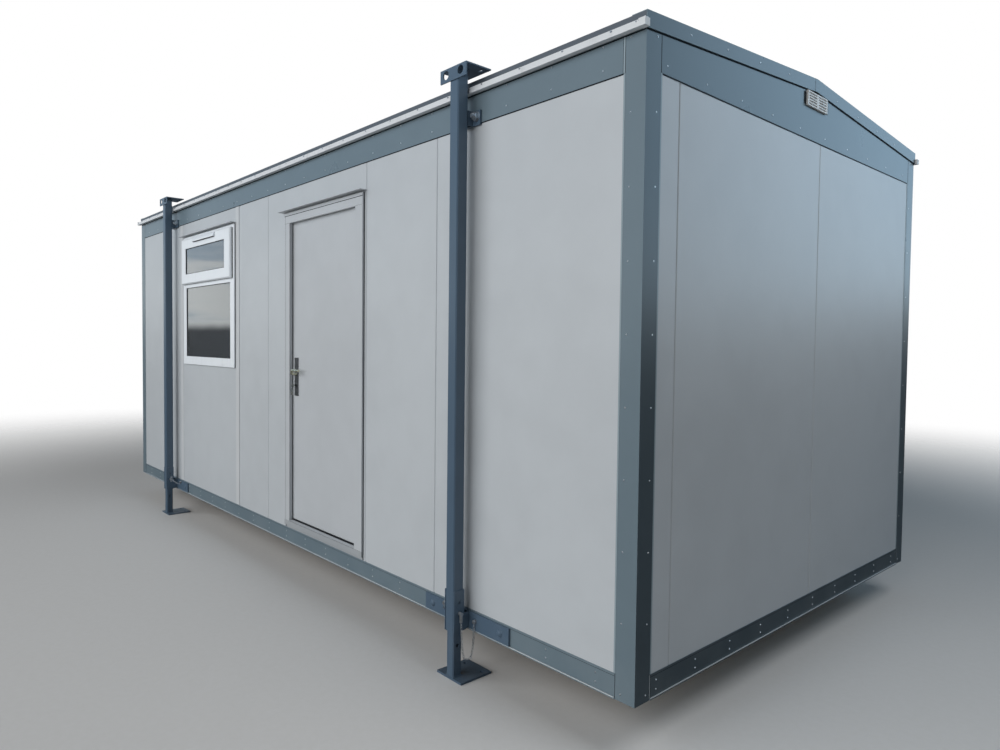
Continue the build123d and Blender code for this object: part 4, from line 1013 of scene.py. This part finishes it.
bead_round = 0.0009
glass_bead_width, glass_bead_front, glass_bead_back = 0.0045, 0.0035, 0.0064
lining_width, lining_front, lining_back = 0.0010, 0.0106, 0.0229
rim_width = 0.0040
window_gasket_and_shade_shape = bmesh.new()
for opening, face_y in openings:
    add_ring(window_gasket_and_shade_shape, *opening, glass_bead_width, face_y + glass_bead_front,
             face_y + glass_bead_back, bead_round)
    add_ring(window_gasket_and_shade_shape, *opening, lining_width, face_y + lining_front, face_y + lining_back, 0.0)
# Painted shade: the black rims round the sash and the frame stand for the shadow gaps there.
sash_shade_rim = (sash_low, sash_high, 0.0012, window_low.y - 0.0062, window_low.y + 0.0002, 0.0005)
frame_shade_rim = (window_low, window_high, 0.0013, window_low.y + 0.0095, panel_front - 0.0001, 0.0004)
for low, high, proud, rim_front, rim_back, rim_edge in (sash_shade_rim, frame_shade_rim):
    add_ring(window_gasket_and_shade_shape, (low.x - proud, low.z - proud), (high.x + proud, high.z + proud),
             rim_width, rim_front, rim_back, rim_edge)
# Painted shade: a black bar under the trickle vent stands for its shaded slot.
trickle_low, trickle_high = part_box("trickle_vent")
slot_end, slot_back = 0.006, 0.0002
add_bar(window_gasket_and_shade_shape, (trickle_low.x + slot_end, trickle_low.y + 0.0025, trickle_low.z - 0.0022),
        (trickle_high.x - slot_end, trickle_high.y - slot_back, trickle_low.z + 0.0004), 0.0006)
window_gaskets_and_shade = make_piece("window_gaskets_and_shade", window_gasket_and_shade_shape, seal_rubber_and_shade)
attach(window_gaskets_and_shade, "cabin")


# Glass spacers: dull metal bars round the edges of the sealed units, which keep their sheets of
# glass apart.
spacer_width, spacer_front, spacer_back = 0.0045, 0.0112, 0.0222
spacer_metal = plated_metal("spacer_metal", (0.10, 0.105, 0.11), 0.4, 0.2)
spacer_shape = bmesh.new()
for opening, face_y in openings:
    add_ring(spacer_shape, *opening, spacer_width, face_y + spacer_front, face_y + spacer_back, 0.0006)
glass_spacers = make_piece("glass_spacers", spacer_shape, spacer_metal)
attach(glass_spacers, "cabin")


# Drain covers: two moulded white plastic caps, clipped over the drain slots in the bottom member of
# the window frame.
drain_half, drain_proud, drain_round = 0.0160, 0.0030, 0.0014
drain_foot, drain_top = window_low.z + 0.0180, window_low.z + 0.0270
drain_shape = bmesh.new()
for drain_x in (-1.640, -0.885):
    add_bar(drain_shape, (drain_x - drain_half, window_low.y - drain_proud, drain_foot),
            (drain_x + drain_half, window_low.y + 0.0004, drain_top), drain_round)
drain_covers = make_piece("drain_covers", drain_shape, window_plastic)
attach(drain_covers, "cabin")


# Jack legs: square steel tube with welded head, foot and bracket plates, sprayed a darker blue. The
# brackets are bolted to the rails, and zinc-plated pins lock the inner legs.
leg_paint = coated_sheet("leg_paint", (0.072, 0.112, 0.160), 0.30, 260.0, 0.00010, 0.06)
dress(["leg_front_right", "leg_front_left", "leg_rear_right", "leg_rear_left", "leg_feet"], leg_paint)
dress(["leg_top_brackets", "leg_base_brackets"], leg_paint)
pin_zinc = plated_metal("pin_zinc", (0.66, 0.67, 0.68), 0.32, 0.3)
dress(["leg_pins"], pin_zinc)
leg_low, leg_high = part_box("leg_front_right")
left_leg_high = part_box("leg_front_left")[1]
pin_low, pin_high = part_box("leg_pins")
pin_z = (pin_low.z + pin_high.z) / 2
leg_half = 0.030
leg_front, plate_front = -1.4715, -1.3815
leg_x = (leg_low.x + leg_high.x) / 2
leg_y = leg_front + leg_half
legs_middle = (leg_low.x + left_leg_high.x) / 2


# Coach bolts: domed steel bolts through the base plates into the bottom rails, two to a leg, painted
# with the plates.
def four_legs(name, meshes, material):
    """Make one piece of grown meshes and their mirror images at the other three legs."""
    images = [reflect(mesh, legs_middle, over_x, over_y)
              for over_x, over_y in four_corners for mesh in meshes]
    return join_meshes(name, images, material)


bolt_spacing = 0.4910
bolt_z = 0.265
bolt_head, bolt_washer = (0.0160, 0.0085), (0.0190, 0.0016)
bolt_pair = fasteners((leg_x - bolt_spacing / 2, plate_front, bolt_z), (bolt_spacing, 0.0, 0.0), 2,
                      facing_front, bolt_head, bolt_washer, 18, leg_paint, 60)
coach_bolts = four_legs("coach_bolts", (bolt_pair,), leg_paint)
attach(coach_bolts, "cabin")


# Bracket nuts: zinc-plated hexagon nuts on washers, two to a leg, on the studs that hold the top
# plates to the top rails.
nut_from_middle = 0.0530
nut_z = 2.586
nut_washer = ((0.0235, -0.0005), (0.0235, 0.0026), (0.0226, 0.0034))
nut_body = ((0.0180, 0.0030), (0.0200, 0.0048), (0.0200, 0.0170), (0.0178, 0.0190))
nut_stud = ((0.0118, 0.0180), (0.0118, 0.0290), (0.0104, 0.0305))
nut_shape = bmesh.new()
for nut_x in (leg_x - nut_from_middle, leg_x + nut_from_middle):
    for profile, sides in ((nut_washer, 22), (nut_body, 6), (nut_stud, 14)):
        add_turned(nut_shape, (nut_x, plate_front, nut_z), profile, sides)
nut_zinc = plated_metal("nut_zinc", (0.62, 0.66, 0.70), 0.30, 0.3)
bracket_nuts = four_images("bracket_nuts", nut_shape, nut_zinc, legs_middle)
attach(bracket_nuts, "cabin")


# Pin handles: each locking pin ends in a bent steel handle on one side of the leg, and a clip of
# spring wire holds its other end.
handle_x, handle_z = leg_x + 0.0500, pin_z + 0.0010
clip_x = leg_x - 0.0510
handle_radius, handle_bend = 0.0080, 0.0090
wire_radius, wire_bend = 0.0022, 0.0035
handle_path = [(leg_x + 0.0370, leg_y, handle_z), (handle_x, leg_y, handle_z),
               (handle_x, leg_y, pin_z - 0.0370)]
clip_turns = ((0.0, 0.0280), (0.0, -0.0180), (-0.0110, -0.0220), (-0.0140, -0.0050), (-0.0060, 0.0040),
              (-0.0160, 0.0180), (-0.0260, 0.0240))
clip_path = [(clip_x + along, leg_y, pin_z + rise) for along, rise in clip_turns]
handle_shape = bmesh.new()
add_rod(handle_shape, soften(handle_path, handle_bend), handle_radius, 12)
add_rod(handle_shape, soften(clip_path, wire_bend), wire_radius, 8)
pin_handles = four_images("pin_handles", handle_shape, pin_zinc, legs_middle)
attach(pin_handles, "cabin")


# Pin chains: short steel chains from each handle and clip to a stud in the base plate, so that a
# drawn pin isn't lost.
chain_tree, asked_chain = new_grower("chain_links", (
    ("Path", "Geometry"), ("Link Pitch", "Float"), ("Link Length", "Float"), ("Link Width", "Float"),
    ("Wire Radius", "Float"), ("Material", "Material")))
chain = Link(chain_tree)
chain_path = chain.node("GeometryNodeMeshToCurve", {}, {"Mesh": asked_chain["Path"]})
spaced = chain.node("GeometryNodeResampleCurve", {"mode": "LENGTH"},
                    {"Curve": chain_path, "Length": asked_chain["Link Pitch"]})
round_wire = chain.node("GeometryNodeCurvePrimitiveCircle", {"mode": "RADIUS"},
                        {"Resolution": 5, "Radius": asked_chain["Wire Radius"]})
unit_ring = chain.node("GeometryNodeCurvePrimitiveCircle", {"mode": "RADIUS"},
                       {"Resolution": 10, "Radius": 0.5})
ring_size = chain.node("ShaderNodeCombineXYZ", {},
                       {"X": asked_chain["Link Length"], "Y": asked_chain["Link Width"], "Z": 1.0})
oval = chain.node("GeometryNodeTransform", {}, {"Geometry": unit_ring, "Scale": ring_size})
chain_link = chain.node("GeometryNodeCurveToMesh", {}, {"Curve": oval, "Profile Curve": round_wire})
tangent = chain.node("GeometryNodeInputTangent", {}, {})
ahead_way = chain.node("FunctionNodeAlignRotationToVector", {"axis": "X"}, {"Vector": tangent})
place_in_chain = chain.node("GeometryNodeInputIndex", {}, {})
quarter_turns = chain.math("MODULO", place_in_chain, 2.0) * (math.pi / 2)
roll_angles = chain.node("ShaderNodeCombineXYZ", {}, {"X": quarter_turns})
roll = chain.node("FunctionNodeEulerToRotation", {}, {0: roll_angles})
link_turn = chain.node("FunctionNodeRotateRotation", {"rotation_space": "LOCAL"}, {0: ahead_way, 1: roll})
hung = chain.node("GeometryNodeInstanceOnPoints", {},
                  {"Points": spaced, "Instance": chain_link, "Rotation": link_turn})
end_growth(chain, hung, asked_chain["Material"])


def path_mesh(points, closed=False):
    """A mesh of edges along points, for a tree to follow."""
    mesh = bpy.data.meshes.new("path")
    count = len(points)
    edges = [(step, step + 1) for step in range(count - 1)] + ([(count - 1, 0)] if closed else [])
    mesh.from_pydata([tuple(point) for point in points], edges, [])
    return mesh


def hanging_points(start, end, drop, steps=24):
    """Points of a chain that hangs between two places, drop metres below the line between them."""
    start, end = Vector(start), Vector(end)
    slackness = 5.5
    points = []
    for step in range(steps + 1):
        share = step / steps
        sag = 1.0 - (math.cosh(slackness * (2.0 * share - 1.0)) - 1.0) / (math.cosh(slackness) - 1.0)
        points.append(start.lerp(end, share) - Vector((0.0, 0.0, drop * sag)))
    return points


chain_size = {"Link Pitch": 0.0128, "Link Length": 0.0170, "Link Width": 0.0095, "Wire Radius": 0.0012,
              "Material": pin_zinc}
handle_drop, clip_drop = 0.1720, 0.0280
stud_right = Vector((leg_x + 0.0800, plate_front - 0.0060, 0.2700))
stud_left = Vector((leg_x - 0.1450, plate_front - 0.0060, 0.2960))
chain_meshes = [grow(chain_tree, path_mesh(points), chain_size) for points in (
    hanging_points((handle_x, leg_y, pin_z - 0.0430), stud_right, handle_drop),
    hanging_points((clip_x - 0.0260, leg_y, pin_z + 0.0240), stud_left, clip_drop))]
pin_chains = four_legs("pin_chains", chain_meshes, pin_zinc)
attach(pin_chains, "cabin")


# Chain studs: turned steel studs with a collar and a button head, fixed to the base plates. They
# carry the chains' ends.
stud_profile = ((0.0100, -0.0005), (0.0100, 0.0024), (0.0040, 0.0032), (0.0040, 0.0085), (0.0090, 0.0092),
                (0.0082, 0.0130))
stud_shape = bmesh.new()
for stud in (stud_right, stud_left):
    add_turned(stud_shape, (stud.x, plate_front, stud.z), stud_profile, 14)
chain_studs = four_images("chain_studs", stud_shape, pin_zinc, legs_middle)
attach(chain_studs, "cabin")


# Leg welds: rippled beads of weld metal round the tube under the head plate, round the inner leg on
# its foot plate and over the tops of the cheeks, painted with the legs.
weld_tree, asked_weld = new_grower("weld_bead", (
    ("Path", "Geometry"), ("Ripple Pitch", "Float"), ("Bead Radius", "Float"), ("Seed", "Int"),
    ("Material", "Material")))
weld = Link(weld_tree)
weld_path = weld.node("GeometryNodeMeshToCurve", {}, {"Mesh": asked_weld["Path"]})
ripples = weld.node("GeometryNodeResampleCurve", {"mode": "LENGTH"},
                    {"Curve": weld_path, "Length": asked_weld["Ripple Pitch"]})
drop_of_metal = weld.node("GeometryNodeMeshUVSphere", {},
                          {"Segments": 7, "Rings": 4, "Radius": asked_weld["Bead Radius"]})
uneven = weld.node("FunctionNodeRandomValue", {"data_type": "FLOAT"},
                   {0: 0.82, 1: 1.12, "Seed": asked_weld["Seed"]})
laid_bead = weld.node("GeometryNodeInstanceOnPoints", {},
                      {"Points": ripples, "Instance": drop_of_metal, "Scale": uneven})
end_growth(weld, laid_bead, asked_weld["Material"])

inner_half = 0.0252
head_weld_z, foot_weld_z = leg_high.z - 0.0080, 0.0115
round_tube = ((1, 1), (1, -1), (-1, -1), (-1, 1))
over_cheek = ((0.0015, 0.388), (0.0085, 0.4065), (0.0270, 0.4155), (0.0580, 0.4158))
weld_paths = [path_mesh([(leg_x + across * half, leg_y + back * half, height)
                         for across, back in round_tube], True)
              for half, height in ((leg_half, head_weld_z), (inner_half, foot_weld_z))]
weld_paths += [path_mesh([(leg_x + side * (leg_half + 0.0006), leg_front + reach, height)
                          for reach, height in over_cheek]) for side in (-1, 1)]
weld_meshes = [grow(weld_tree, path, {"Ripple Pitch": 0.0036, "Bead Radius": 0.0034, "Seed": 70 + number,
                                      "Material": leg_paint}) for number, path in enumerate(weld_paths)]
leg_welds = four_legs("leg_welds", weld_meshes, leg_paint)
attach(leg_welds, "cabin")
